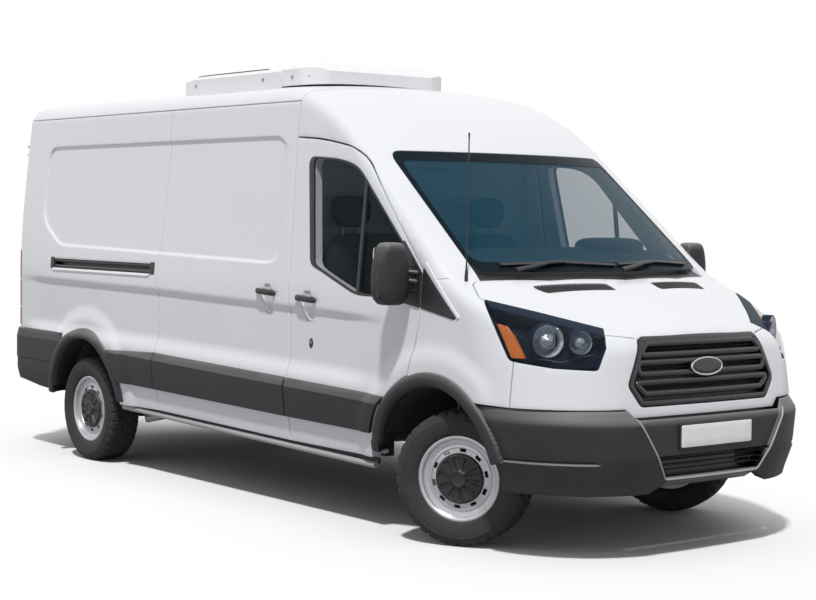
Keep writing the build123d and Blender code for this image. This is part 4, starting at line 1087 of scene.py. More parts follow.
# End of the van, arch, skin, flare's turn and depth, half width of the lip behind it
ARCHES = [("front", FRONT_ARCH, front_side, (13, 172), 105, 46),
          ("rear", REAR_ARCH, sides, (8, 174), 130, 78)]
for side, word in SIDES:
    door_strip = chain(strip_end(B_SEAM + 10)[::-1], front_end)
    strips.append((f"door_{word}", side, door_strip, door_side, f"front_door_{word}",
                   f"door_moulding_{word}"))
    for end, centre, base, turn, deep, half in ARCHES:
        form = flare(base, centre)
        panel(f"{end}_flare_{word}", PLASTIC, across(side), ring(centre, *turn), form, pitch=18, rim=6,
              depth=deep, replaces=["side_cladding"])
        at = project(across(side), arc(centre, ARCH_OPEN + 4, 14, 166, 60), form)
        at = at - [0, side * (half + LIP_BACK), 0]
        sweep(f"arch_lip_{end}_{word}", at, oval(half, 8, 16), TRIM,
              up=(at - [centre[0], 0, centre[1]]) * [1, 0, 1])
for word, side, loop, base, body, replaced in strips:
    panel(f"moulding_{word}", PLASTIC, across(side), loop, moulding(base), body, pitch=28, rim=4,
          guides=[(chamfer, False, 6)], replaces=[replaced], sharp=20)

# Wheels: outlines are (along, radius)
TYRE_WALL = [(89, 221), (97, 225), (104, 238), (111, 256), (115.5, 273), (117.3, 291), (116.5, 299),
             (118, 301), (117.5, 306), (114, 309), (110, 321), (105, 333), (98, 342)]
TREAD = [(90, 347), (66, 349.5), (61, 349.6), (59, 341), (49, 341), (47, 349.9), (26, 350), (24, 341.5),
         (14, 341.5), (12, 350)]
CAP = [(62, 131), (76, 131), (82, 128), (86, 121), (86, 114), (79, 110), (81, 60), (83, 48), (92, 44),
       (97, 39), (97, 31), (94, 26), (94, 14), (94, 0.1)]
FLANGE = [(70, 209), (88, 203), (93, 208), (94, 216), (91, 222.5), (84, 224), (80, 219)]
RIM_STEP = [(60, 176), (68, 173), (72, 165), (71, 158), (66, 155)]
TURN_X, TURN_Y, TURN_Z = 0.473265, 0.88052, 0.026551
WHEELS = [("front_left", (1904.131, 850.002, 351.981), (-TURN_X, TURN_Y, -TURN_Z)),
          ("front_right", (2030.869, -850.002, 351.981), (TURN_X, -TURN_Y, -TURN_Z)),
          ("rear_left", (X_REAR, 871, 350), (0, 1, 0)),
          ("rear_right", (X_REAR, -871, 350), (0, -1, 0))]
half_tyre = TYRE_WALL + TREAD
tyre_outline = [(-t, r) for t, r in half_tyre] + half_tyre[::-1]


def tread_cut(k, t, r):
    """Cross grooves in the shoulders and the ribs."""
    edge = np.abs(t)
    shoulder = (edge > 62) & (r > 325) & (k % 8 < 2)
    rib = (edge > 25) & (edge < 48) & (r > 345) & ((k + 4) % 8 < 2)
    middle = (edge < 13) & (r > 345) & ((k + 8) % 16 < 2)
    return t, r - np.where(shoulder, 9, 0) - np.where(rib | middle, 8, 0)


def lobes(k, t, r):
    """Raised lobes round a hub cap."""
    return t + np.where((r > 44) & (r < 112) & (k % 12 < 7), 6, 0), r


for word, centre, outward in WHEELS:
    wheel = f"wheel_{word}"
    lathe(f"tyre_{word}_tread", tyre_outline, centre, outward, RUBBER, 288, wheel, tread_cut,
          replaces=[f"tyre_{word}"])
    lathe(f"hub_cap_{word}", CAP, centre, outward, TRIM, 120, wheel, lobes)
    lathe(f"rim_lip_{word}", FLANGE, centre, outward, SILVER, 96, wheel)
    lathe(f"rim_step_{word}", RIM_STEP, centre, outward, SILVER, 96, wheel)

# Door frames behind the front doors, firewall, headliner and cowl
FIREWALL_X = 2012
FIREWALL = both([(880, 500), (880, 1330), (700, 1392)])
COWL_LENGTH = 210
door_round = soften(door_outline, 40)
for side, word in SIDES:
    panel(f"door_frame_{word}", WHITE, across(side), inset(door_outline, 3), shell,
          holes=[inset(door_round, 78)], pitch=40, rim=4, depth=26, lift=-68, lined="close",
          replaces=["cab_frame"])
    bead(f"door_seal_{word}", SEAL, across(side), fill_in(inset(door_round, 70), 40), shell, oval(8, 7, 8),
         -66, closed=True)


def ribbed_wall(p):
    return p[:, 0] - FIREWALL_X - 5 * np.tanh(4 * np.sin(p[:, 2] / 26))


panel("firewall", UNDER, straight(0, 1, 1200), soften(FIREWALL, 30), ribbed_wall, pitch=16, depth=14,
      lined="close", replaces=["cab_frame"])
panel("headliner", LINING, cab_cast, inset(cab_outline, 46), shell, pitch=50, rim=0, depth=5, lift=-34,
      lined="close")
cowl_front = np.array([(x - 8, y) for x, y in half_bonnet if x < COWL_X + 30 and abs(y) < 861])
cowl_front = cowl_front[np.argsort(cowl_front[:, 1])]
cowl_edge = chain((cowl_front * [1, -1])[::-1], cowl_front)
panel("cowl", TRIM, down, chain(cowl_edge, (cowl_edge - [COWL_LENGTH, 0])[::-1]), nose, pitch=26, depth=20,
      lift=-9)

# Windscreen border, wipers and aerial
FRIT_HOLE = both([(808, 1455), (770, 1992)])
BLADE = [(-4, -7), (4, -7), (7, 3), (9, 8), (-9, 8), (-7, 3)]
# Arm from pivot to tip, and the ends of the blade
WIPERS = [("right", [(-640, 1400), (-420, 1438), (-330, 1442)], -690, 10),
          ("left", [(20, 1400), (240, 1432), (330, 1438)], 40, 690)]
panel("windscreen_border", FRIT, front_on, inset(soften(SCREEN, 60), -1), shell,
      holes=[soften(FRIT_HOLE, 50)], pitch=30, rim=0, depth=1.5, lift=1.2)
for word, arm, low, high in WIPERS:
    line = fill_in([(low, 1436), (0.5 * (low + high), 1448), (high, 1432)], 30, False)
    bead(f"wiper_blade_{word}", TRIM, front_on, line, shell, BLADE, 8)
    line = fill_in(arm, 24, False)
    bead(f"wiper_arm_{word}", TRIM, front_on, line, shell, oval(9, 6, 10), 24,
         scale=np.linspace(1.6, 0.9, len(line)))
mast = [(2096 + 8 * t, -916, 1362 + 750 * t) for t in np.linspace(0, 1, 24)]
sweep("aerial_mast", mast, oval(3.4, 3.4, 8), TRIM, up=(0, 1, 0), scale=[2.8, 2.6, 1.6] + [1] * 20 + [1.6])

# Fixed triangle ahead of each door with its strip, mirror on the door, bar in the window
TRIANGLE = [(1853.5, 1424), (2140, 1178), (2120, 1168), (1853.5, 1213)]
STRIP = [(1853.5, 1448), (1872, 1454), (2166, 1184), (2160, 1172), (2146, 1178), (1853.5, 1431)]
MOUNT = [(1668, 1568), (1848.5, 1396), (1848.5, 1214), (1620, 1248)]
REPEATER = [(1770, 1265), (1786, 1275), (1786, 1400), (1770, 1412), (1760, 1400), (1760, 1275)]
DIVIDER = [(-13, -9), (13, -9), (13, 4), (9, 7), (-9, 7), (-13, 4)]
MIRROR_X, MIRROR_Y, MIRROR_Z = 1754, 1137, 1390
MIRROR_HALF = (62, 98, 162)
MIRROR_BACK = 0.78


def front_body(p):
    return np.minimum(nose(p), shell(p))


def mirror_shape(s):
    s = s.copy()
    s[:, 1] *= 1 - 0.24 * step(-0.1, 1, s[:, 2]) - 0.12 * step(-0.5, -1, s[:, 2])
    flat_back = -MIRROR_BACK - 0.05 * (s[:, 0] + MIRROR_BACK)
    s[:, 0] = np.where(s[:, 0] < -MIRROR_BACK, flat_back, s[:, 0] * (1 - 0.16 * s[:, 1] ** 2))
    return s


def mirror_back(p):
    return -(p[:, 0] - MIRROR_X + MIRROR_HALF[0] * MIRROR_BACK)


def mirror_end(p):
    return np.abs(p[:, 1]) - MIRROR_Y - MIRROR_HALF[1] * 0.985


divider_z = np.linspace(1276, 1880, 20)
divider_line = join(1308 - 0.02 * (divider_z - 1280), divider_z)
for side, word in SIDES:
    door = f"front_door_{word}"
    cast = across(side)
    panel(f"quarter_triangle_{word}", TRIM, cast, soften(TRIANGLE, 8), front_body, pitch=18, rim=4, depth=14,
          lift=5)
    panel(f"triangle_strip_{word}", WHITE, cast, STRIP, front_body, pitch=14, rim=4, depth=12, lift=7)
    panel(f"mirror_mount_{word}", TRIM, cast, soften(MOUNT, 10), door_side, door, pitch=18, rim=5, depth=18,
          lift=9)
    block(f"mirror_housing_{word}", PLASTIC, (MIRROR_X, side * MIRROR_Y, MIRROR_Z), MIRROR_HALF, 0.42,
          mirror_shape, 36, 64, side=side, body=door, replaces=[f"mirror_{word}"], sharp=60)
    for tag, z0, z1 in (("main", 1345, 1530), ("wide", 1248, 1332)):
        loop = [(MIRROR_Y - 76, z0), (MIRROR_Y + 80, z0), (MIRROR_Y + 74, z1), (MIRROR_Y - 72, z1)]
        loop = soften(np.multiply(loop, [side, 1]), 26)
        panel(f"mirror_glass_{tag}_{word}", CHROME, straight(0, -1, MIRROR_X), loop, mirror_back, door,
              pitch=30, depth=6, lift=4, slot="glass")
    for n, z in enumerate((1398, 1352)):
        arm = [(1762, side * 1060, z), (1790, side * 1030, z), (1812, side * 1000, z - 4)]
        sweep(f"mirror_arm_{n}_{word}", fill_in(arm, 10, False), oval(16, 13, 12), PLASTIC, body=door)
    for n, z in enumerate((1300, 1340, 1385, 1430)):
        reach = float(np.interp(z, [1300, 1430], [1838, 1800]))
        bead(f"mount_rib_{n}_{word}", TRIM, cast, level_line(z, reach - 110, reach - 10, 8), door_side,
             oval(5, 5, 8), 9, body=door)
    panel(f"mirror_repeater_{word}", TRIM, straight(1, side, side * 1000), soften(REPEATER, 8), mirror_end,
          door, pitch=12, depth=8, lift=0.5, slot="lamp_clear")
    bead(f"window_divider_{word}", TRIM, cast, divider_line, shell, DIVIDER, -4, body=door)


# Door handles over their dishes, locks and the slider track
LOCK_AT, KEY_AT = (864, 970), (864, 974)
TRACK_ENDS = (-2250, -872)
SLIDER_LIP = [(-2240, 1272), (-930, 1272), (-890, 1302), (-2240, 1302)]
HANDLE_STEPS = 15


def handle(word, side, place, body):
    along = np.linspace(-94, 94, HANDLE_STEPS)
    at = project(across(side), join(place[0] + along, place[1] + 2 - 0.05 * along), shell)
    rise = 26 + 14 * (1 - np.linspace(-1, 1, HANDLE_STEPS) ** 4)
    at[:, 1] = side * (np.abs(at[HANDLE_STEPS // 2, 1]) + rise - 18)
    sweep(f"handle_bar_{word}", at, oval(17, 11, 12), TRIM, up=(0, side, 0), body=body,
          scale=[0.7] + [1] * (HANDLE_STEPS - 2) + [0.7])


handle("slider", RIGHT, SLIDER_HANDLE, "body")
for side, word in SIDES:
    door = f"front_door_{word}"
    handle(f"door_{word}", side, DOOR_HANDLE, door)
    panel(f"door_lock_{word}", TRIM, across(side), oval(20, 30, 24) + LOCK_AT, door_side, door, pitch=9,
          rim=5, depth=10, lift=3)
    panel(f"key_slot_{word}", STEEL, across(side), oval(8, 9, 16) + KEY_AT, door_side, door, pitch=6, rim=2,
          depth=6, lift=5)
panel("slider_track_tray", TRIM, across(RIGHT), inset(track_loop, -3), sides, pitch=30, depth=40,
      lift=-4, tray=True)
for n, z in enumerate((1312, 1352)):
    line = level_line(z, -2240, -884, 40)
    bead(f"slider_rail_{n}", PLASTIC, across(RIGHT), line, sides, oval(9, 7, 8), -10)
for n, x in enumerate(TRACK_ENDS):
    panel(f"slider_end_{n}", TRIM, across(RIGHT), box(x - 26, 1296, x + 26, 1374, 8), sides, pitch=12,
          depth=26, lift=4)


def lipped_side(p):
    return sides(p) - 9 * (1 - np.abs(p[:, 2] - 1288) / 18)


def load_wall(p):
    return np.abs(p[:, 1]) - load_half(p[:, 2]) - 2


panel("slider_lip", WHITE, across(RIGHT), soften(SLIDER_LIP, 6), lipped_side, pitch=14, depth=10)
panel("slider_track_cover", INNER_WHITE, across(RIGHT), inset(track_loop, -14), load_wall, pitch=60, rim=2,
      depth=5, lined="close")

# Rear posts, door cards and sills
CARD = [(745, 560), (745, 1330), (960, 1330), (1290, 1236), (1740, 1228), (1740, 970),
        (1560, 800), (1400, 560)]
CARD_ROUND = [30, 60, 60, 120, 40, 60, 120, 40]
REAR_POST = [(rear_u, 602), (rear_u, 864), (lamp_u + 30, 864), (lamp_u + 30, 602)]
SILL_FLANGE = [(-8, -20), (8, -20), (8, 12), (-8, 12)]
PULL_STEPS = 20


def card_face(p):
    return shell(p) - 8 * np.exp(-((p[:, 2] - 1060) / 26) ** 2)


for side, word in SIDES:
    door = f"front_door_{word}"
    panel(f"rear_post_{word}", WHITE, across(side), REAR_POST, shell, rim=2, depth=24, lift=-3, lined="close")
    panel(f"door_card_{word}", GREY_TRIM, across(side), soften(CARD, CARD_ROUND), card_face, door, rim=5,
          depth=9, lift=-58.5, lined="close", slot="cab_plastic")
    at = project(across(side), level_line(1045, 960, 1270, PULL_STEPS), shell)
    at[:, 1] -= side * (72 + 36 * np.sin(np.linspace(0, math.pi, PULL_STEPS)) ** 0.6)
    sweep(f"door_pull_{word}", at, oval(15, 13, 12), DASH, body=door)
for side, word in SIDES:
    tube = [(x, side * 968, sill(x) - 34) for x in np.linspace(-1285, 1440, 40)]
    sweep(f"sill_tube_{word}", tube, oval(20, 17, 14), GREY_TRIM, slot="underbody_paint")
    flange = [(x, side * 952, sill(x) - 6) for x in np.linspace(-1288, 1442, 40)]
    sweep(f"sill_flange_{word}", flange, SILL_FLANGE, UNDER)

# Rear bumper and step
STEP_HALF = 736
STEP_TOP, STEP_FOOT = 604, 480
TOW_SOCKET = (-420, 533)
TOW_OUTLINE = [(-46, 0.1), (-46, 10), (0, 10), (2, 12), (1, 15), (-3, 16)]
GROOVE_REAR, CHAMFER_REAR = 638, 792
corner_end = WRAP_X - math.pi / 2 * WRAP_R
door_side_u = unrolled(-2935, 908, 700)
back_cast = straight(0, -1, -2600)


def rear_bumper(p):
    x, y, z = p.T
    cut = 14 * np.clip((z - CHAMFER_REAR) / 60, 0, 1) + 5 * (1 - step(634, 642, z))
    cut = cut + 0.22 * np.maximum(560 - z, 0)
    half = soft_min(half_at(z), plan_half(x), 30) + 12
    return round_max(np.abs(y) - half, -HALF + 42 - x, 170) + cut


def rear_step(p):
    tread = 38 * (1 - step(588, 602, p[:, 2])) * (1 - step(600, 632, np.abs(p[:, 1])))
    return rear_bumper(p) - tread


rear_corner = [(-2500, 446), (-2780, STEP_FOOT), (corner_end, STEP_FOOT), (corner_end, STEP_TOP),
               (door_side_u, STEP_TOP), (door_side_u, 850)]
rear_loop = chain(arc(REAR_ARCH, ARCH_FLARE + 4, 117.2, 174, 24), rear_corner)
rear_guides = [(level_line(GROOVE_REAR, -2940, -2250, 50), False, 8),
               (level_line(CHAMFER_REAR, -2940, -2080), False, 5)]
for side, word in SIDES:
    panel(f"rear_bumper_corner_{word}", PLASTIC, across(side), rear_loop, rear_bumper, pitch=22, rim=5,
          depth=50, guides=rear_guides, replaces=["rear_bumper"], sharp=22)
    panel(f"rear_reflector_{word}", RED, straight(0, -1, -2700), box(side * 760, 540, side * 870, 584, 12),
          rear_bumper, pitch=12, depth=8, lift=3)
panel("rear_step", PLASTIC, back_cast, soften(both([(STEP_HALF, STEP_FOOT), (STEP_HALF, STEP_TOP)]), 4),
      rear_step, holes=[arc(TOW_SOCKET, 13, 0, 345, 24)], pitch=16, rim=4, depth=56,
      guides=[(level_line(594, -700, 700), False, 9)], replaces=["rear_bumper"])
lathe("tow_socket", TOW_OUTLINE, (-HALF + 4, *TOW_SOCKET), (-1, 0, 0), STEEL, 28)
panel("rear_sill", WHITE, back_cast, soften(both([(852, 600), (852, 648)]), 6), shell, pitch=30, rim=4,
      depth=44, lift=-4, lined="close")

# Tail lamps: the lenses' lower and upper corners, on the unrolled side, and their finish
lamp_mid = 0.45 * lamp_back_u + 0.55 * lamp_u
LENSES = [(lamp_back_u, LAMP_LOW, lamp_u, 1000, RED), (lamp_back_u, 1006, lamp_mid - 3, 1090, BULB),
          (lamp_back_u, 1096, lamp_mid - 3, 1200, AMBER), (lamp_mid + 3, 1006, lamp_u, 1200, RED),
          (lamp_back_u, 1206, lamp_u, LAMP_HIGH, RED)]
for side, word in SIDES:
    for n, (u0, z0, u1, z1, lens) in enumerate(LENSES):
        panel(f"tail_lamp_{n}_{word}", lens, across(side), box(u0, z0, u1, z1, 12), shell, pitch=16, rim=5,
              depth=24, lift=4, lined="close", slot="lamp_red", replaces=["tail_lamps"])
    panel(f"tail_lamp_base_{word}", TRIM, across(side), box(lamp_back_u, LAMP_LOW, lamp_u, LAMP_HIGH, 16),
          shell, rim=2, depth=20, lift=0.5, slot="lamp_case")

# Rear doors with hinges, handle and plate
REAR_PRESS = [[(92, 1290), (742, 1290), (700, 2190), (120, 2190)],
              [(92, 780), (742, 780), (742, 1120), (92, 1120)]]
REAR_DOOR = [(4, 654), (826, 654), (826, 2180), (806, 2340), (4, 2349)]
HINGE_X, HINGE_Y = -2920.5, 834
HINGE_ARM = [(-5, -20), (5, -20), (5, 20), (-5, 20)]
HINGE_EAR = [(-6, -8), (6, -8), (6, 8), (-6, 8)]


def rear_doors(p):
    pressed = 0
    for loop in REAR_PRESS:
        gap = loop_gap(join(np.abs(p[:, 1]), p[:, 2]), loop) - 22
        pressed = pressed + 12 * (1 - step(-10, 10, gap))
    return shell(p) + pressed


for side, word in SIDES:
    door = f"rear_door_{word}"
    across_door = [side, 1]
    guides = [(soften(press, 40) * across_door, True, 22) for press in REAR_PRESS]
    panel(f"rear_door_panel_{word}", WHITE, back_cast, np.multiply(REAR_DOOR, across_door), rear_doors, door,
          guides=guides, depth=66, lined="close", replaces=[door])
    for n, z in enumerate((800, 1450, 2130)):
        strap = [(700, z - 24), (836, z - 34), (836, z + 34), (700, z + 24)]
        panel(f"hinge_strap_{n}_{word}", WHITE, back_cast, soften(np.multiply(strap, across_door), 10),
              rear_doors, door, pitch=14, rim=4, depth=14, lift=9)
        arm = [(REAR_FACE - 12, side * 748, z), (REAR_FACE - 20, side * 790, z), (HINGE_X, side * HINGE_Y, z)]
        sweep(f"hinge_arm_{n}_{word}", fill_in(arm, 12, False), HINGE_ARM, WHITE, body=door)
        for k, shift in enumerate((-31, 31)):
            ear = [(HINGE_X, side * HINGE_Y, z + shift), (-2906, side * 862, z + shift),
                   (REAR_FACE + 24, side * 886, z + shift)]
            sweep(f"hinge_ear_{n}{k}_{word}", fill_in(ear, 12, False), HINGE_EAR, WHITE)
        pin = [(HINGE_X, side * HINGE_Y, z - 40 + 10 * k) for k in range(9)]
        sweep(f"hinge_pin_{n}_{word}", pin, oval(13, 13, 14), WHITE, up=(0, 1, 0), body=door)
panel("rear_handle_plate", TRIM, back_cast, box(-340, 1170, -60, 1262, 16), rear_doors, "rear_door_right",
      pitch=16, rim=4, depth=12, lift=6)
grip = [(REAR_FACE - 30 - 10 * math.sin(math.pi * t), -310 + 220 * t, 1216) for t in np.linspace(0, 1, 15)]
sweep("rear_handle_bar", grip, oval(9, 15, 12), TRIM, body="rear_door_right")
rear_plate = box(120, 1160, 660, 1272, 10)
panel("rear_plate", PLATE, back_cast, rear_plate, rear_doors, "rear_door_left", pitch=30, rim=2, depth=8,
      lift=8)
panel("rear_plate_holder", TRIM, back_cast, inset(rear_plate, -10), rear_doors, "rear_door_left", pitch=30,
      rim=2, depth=8, lift=4)

# Front plate, left blank, on its holder
plate_x = float(project(ahead, [(0, 617)], bumper)[0, 0])


def plate_face(p):
    return p[:, 0] - plate_x


for tag, grow, rise, made in (("holder", 10, 6, TRIM), ("blank", 0, 11, PLATE)):
    loop = both([(260 + grow, 562 - grow), (260 + grow, 672 + grow)])
    panel(f"front_plate_{tag}", made, ahead, soften(loop, 10), plate_face, pitch=40, rim=2, depth=14,
          lift=rise, slot="dark_plastic")

# Bonnet vents: slats over a dark tray
for n, vent in enumerate(vents):
    panel(f"vent_tray_{n}", TRIM, down, inset(vent, -3), nose, "bonnet", pitch=30, depth=10, lift=-2,
          tray=True, replaces=["bonnet_vents"])
    low, high = vent.min(0), vent.max(0)
    for k, y in enumerate(np.linspace(low[1] + 14, high[1] - 14, 22)):
        column = fill_in(level_line(y, low[0], high[0]), 4, False)
        column = column[in_loop(column, vent)]
        if len(column) > 4:
            at = project(down, column[:: max(1, len(column) // 8)], nose)
            sweep(f"vent_slat_{n}_{k}", at - [0, 0, 4], oval(4, 3, 6), TRIM, body="bonnet")


# Seats
def seams(value, places, width=0.035):
    """How far a padded face is drawn in at its seams."""
    return sum(np.exp(-((value - s) / width) ** 2) for s in places)


def cushion_shape(s):
    s = s.copy()
    top = step(0.2, 0.9, s[:, 2])
    crown = 0.20 * (1 - s[:, 1] ** 2) * (1 - 0.6 * s[:, 0] ** 2)
    s[:, 2] += top * (crown - 0.16 * seams(np.abs(s[:, 1]), [0.62]))
    s[:, 2] -= 0.14 * top * seams(s[:, 0], [-0.15, 0.38])
    return s


def back_shape(s):
    s = s.copy()
    face = step(0.2, 0.9, s[:, 0])
    drawn = 0.18 * seams(np.abs(s[:, 1]), [0.60]) + 0.16 * seams(s[:, 2], [-0.42, 0.30])
    s[:, 0] += face * (0.22 * (1 - s[:, 1] ** 2) - drawn)
    s[:, 1] *= 1 - 0.16 * step(0.25, 1, s[:, 2])
    return s


def head_shape(s):
    s = s.copy()
    s[:, 1] *= 1 - 0.18 * step(-0.2, -1, s[:, 2])
    s[:, 0] -= 0.10 * seams(s[:, 2], [0.55, -0.55], 0.06)
    return s


def base_shape(s):
    s = s.copy()
    s[:, 1] *= 0.92 + 0.08 * s[:, 2]
    return s


def padding(name, at, half, shape, lean=0, exponent=0.34):
    piece = block(name, FABRIC, at, half, exponent, shape, 44, 84, lean, replaces=["seats"], sharp=70)


# Place across, half width and the headrests' places
SEATS = [("driver", 430, 245, [430]), ("passenger", -400, 430, [-190, -610])]
for word, y, half, heads in SEATS:
    padding(f"seat_cushion_{word}", (1010, y, 868), (265, half, 72), cushion_shape)
    padding(f"seat_back_{word}", (842, y, 1240), (78, half, 345), back_shape, lean=0.20)
    for n, head in enumerate(heads):
        padding(f"headrest_{n}_{word}", (706, head, 1712), (46, 128, 92), head_shape, exponent=0.5)
        for k, shift in enumerate((-55, 55)):
            post = [(712 - 0.2 * t, head + shift, 1560 + t) for t in np.linspace(0, 90, 5)]
            sweep(f"headrest_post_{n}{k}_{word}", post, oval(6, 6, 10), STEEL, up=(0, 1, 0))
    block(f"seat_base_{word}", DASH, (980, y, 668), (225, half - 40, 148), 0.16, base_shape,
          replaces=["seats"])

# Dashboard and bulkhead ribs
DASH_PAD = [(1664, -845), (1664, 845), (1790, 862), (1990, 720), (2090, 400), (2110, 0),
            (2090, -400), (1990, -720), (1790, -862)]
DASH_ROUND = [30, 30, 80, 200, 300, 300, 300, 200, 80]
DASH_SEAM = 1860
CENTRE_FACE = 1634


def dash_top(p):
    """Crowned top of the dashboard, falling towards the windscreen and its own rear edge."""
    x, y, z = p.T
    height = 1528 - 24 * (y / 800) ** 2 - 0.24 * np.maximum(x - 1780, 0)
    height = height - 70 * (1 - step(1672, 1742, x))
    return z - height + 9 * seams((x - DASH_SEAM) / 400, [0], 0.02)


def centre_face(p):
    return CENTRE_FACE - p[:, 0]


dash_guide = [(DASH_SEAM, y) for y in np.linspace(-780, 780, 60)]
panel("dash_pad", DASH, straight(2, 1, 1100), soften(DASH_PAD, DASH_ROUND, 8), dash_top, pitch=26, rim=12,
      depth=170, guides=[(dash_guide, False, 12)])
block("instrument_hood", DASH, (1772, 430, 1502), (120, 205, 78), 0.5)
block("centre_stack", DASH, (1672, 0, 1190), (40, 165, 150), 0.25)
panel("centre_screen", GLOSS, straight(0, -1, 1700), box(-110, 1235, 110, 1320, 12), centre_face,
      pitch=30, depth=10, slot="cab_plastic")
for n, y in enumerate((-760, -240, 240, 640)):
    for k in range(4):
        slat = [(1670, y + s, 1262 + 13 * k) for s in np.linspace(-60, 60, 5)]
        sweep(f"dash_vent_{n}_{k}", slat, oval(5, 3, 6), TRIM, slot="cab_plastic")
for n, z in enumerate(np.linspace(760, 2120, 9)):
    half = float(np.interp(z, [700, 2200], [800, 690]))
    rib = [(BULKHEAD_X + BULKHEAD_FACE, y, z) for y in np.linspace(-half, half, 15)]
    sweep(f"bulkhead_rib_{n}", rib, oval(9, 26, 12), GREY, scale=[0.4] + [1] * 13 + [0.4])

# Cooling unit on the roof
UNIT_REAR, UNIT_SPLIT, UNIT_FRONT, UNIT_HALF, UNIT_TOP = -1260.5, -105.5, 199.5, 560, 2645
PLAN_HALF = UNIT_HALF - 2
FANS = (-780.5, -435.5)
FAN_R = 162
FAN_BLADES, BLADE_ROWS, BLADE_COLUMNS = 7, 6, 4
# Radius of each ring of a fan guard, and half width and height of its wire
GUARD_RINGS = [(40, 3.4, 3.4), (82, 3.4, 3.4), (124, 3.4, 3.4), (FAN_R + 4, 8, 7)]
SCREW = [(-6, 9), (2, 9), (4, 6), (3, 0.1)]
# Screws: place along the unit, and how far they stand in from its side
SCREWS = [(-1090, 3), (-300, 3), (20, 3), (140, 43)]
SCREW_Z = 2528


def roof_at(y):
    return ROOF_HEIGHT - ROOF_CROWN + np.sqrt(ROOF_CROWN ** 2 - y ** 2)


def rear_cover(p):
    x, y, z = p.T
    top = z - (2606 + (x - UNIT_REAR) * 0.022)
    field = round_max(top, (z - 2546 - (x - UNIT_REAR) * 0.34) * 0.947, 30)
    return round_max(field, (z - 2566 - (UNIT_HALF - np.abs(y)) * 0.70) * 0.82, 26)


def front_cover(p):
    x, y, z = p.T
    field = round_max(z - UNIT_TOP + 2, (z - 2574 - (UNIT_HALF - np.abs(y)) * 0.62) * 0.85, 34)
    return round_max(field, (z - 2566 - (UNIT_FRONT - x) * 0.60) * 0.857, 40)


def to_roof(gap):
    def inner(points, outward):
        low = points.copy()
        low[:, 2] = np.minimum(roof_at(points[:, 1]) + gap, points[:, 2] - 4)
        return low
    return inner


def fan_blades(x, height):
    """Points and faces of the twisted blades of one fan."""
    blades, faces = [], []
    for k in range(FAN_BLADES):
        turn = 2 * math.pi / FAN_BLADES * k
        first = len(blades)
        for s in np.linspace(34, FAN_R - 12, BLADE_ROWS):
            for w in np.linspace(-1, 1, BLADE_COLUMNS):
                a = turn + w * (0.30 - 0.0006 * s)
                blades.append((x + s * math.cos(a), s * math.sin(a), height + 13 * w))
        for r in range(BLADE_ROWS - 1):
            for c in range(BLADE_COLUMNS - 1):
                at = first + r * BLADE_COLUMNS + c
                faces.append((at, at + 1, at + BLADE_COLUMNS + 1, at + BLADE_COLUMNS))
    return blades, faces


upward = straight(2, 1, 2300)
rear_plan = soften(box(UNIT_REAR + 2, -PLAN_HALF, UNIT_SPLIT - 3, PLAN_HALF), [70, 4, 4, 70])
front_plan = [(UNIT_SPLIT + 3, -PLAN_HALF), (UNIT_FRONT - 60, -PLAN_HALF), (UNIT_FRONT - 2, -UNIT_HALF + 150)]
front_plan = soften(front_plan + [(x, -y) for x, y in front_plan[::-1]], [4, 120, 120, 120, 120, 4])
fan_holes = [arc((x, 0), FAN_R, 0, 351, 40) for x in FANS]
panel("unit_rear_cover", UNIT, upward, rear_plan, rear_cover, holes=fan_holes, pitch=30, rim=8,
      lined=to_roof(5), replaces=["unit_cover_rear"])
panel("unit_front_cover", UNIT, upward, front_plan, front_cover, rim=8, lined=to_roof(17),
      replaces=["unit_cover_front"])
for n, x in enumerate(FANS):
    level_z = float(project(upward, [(x, 0)], rear_cover)[0, 2])
    for k, (size, wide, tall) in enumerate(GUARD_RINGS):
        loop = np.column_stack([arc((x, 0), size, 0, 352.5, 48), np.full(48, level_z + 3)])
        sweep(f"fan_guard_{n}_{k}", loop, oval(wide, tall, 8), TRIM, closed=True)
    for k in range(4):
        turn = math.pi / 4 * k
        reach = np.linspace(-FAN_R, FAN_R, 9)
        spoke = join(x + reach * math.cos(turn), reach * math.sin(turn), np.full(9, level_z + 1))
        sweep(f"fan_spoke_{n}_{k}", spoke, oval(3.2, 3.2, 8), TRIM)
    put(f"fan_blades_{n}", *fan_blades(x, level_z - 34), CAST)
for side, word in SIDES:
    at = project(upward, level_line(side * 520, UNIT_REAR + 150, UNIT_SPLIT - 180, 30), rear_cover)
    sweep(f"unit_edge_trim_{word}", at + [0, 0, 1], oval(6, 3, 8), TRIM)
    for n, (x, inward) in enumerate(SCREWS):
        lathe(f"unit_screw_{n}_{word}", SCREW, (x, side * (UNIT_HALF - inward), SCREW_Z), (0, side, 0),
              STEEL, 14)

# Camera at the photo's place
CAMERA_AT = (8777, -6647, 1685)
YAW, PITCH, ROLL = math.radians(51.29), math.radians(2.75), math.radians(0.72)
FOCAL_PIXELS, PICTURE_WIDTH, SENSOR = 1735, 816, 36
look = Vector((-math.sin(YAW) * math.cos(PITCH), math.cos(YAW) * math.cos(PITCH), -math.sin(PITCH)))
level = Vector((math.cos(YAW), math.sin(YAW), 0))
upright = level.cross(look)
right = level * math.cos(ROLL) + upright * math.sin(ROLL)
top = upright * math.cos(ROLL) - level * math.sin(ROLL)
camera = bpy.data.objects.new("camera", bpy.data.cameras.new("camera"))
scene.collection.objects.link(camera)
camera.data.sensor_width = SENSOR
camera.data.lens = FOCAL_PIXELS / PICTURE_WIDTH * SENSOR
camera.data.clip_end = 200
turned = Matrix((right, top, -look)).transposed().to_4x4()
turned.translation = Vector(CAMERA_AT) * MM
camera.matrix_world = turned
scene.camera = camera

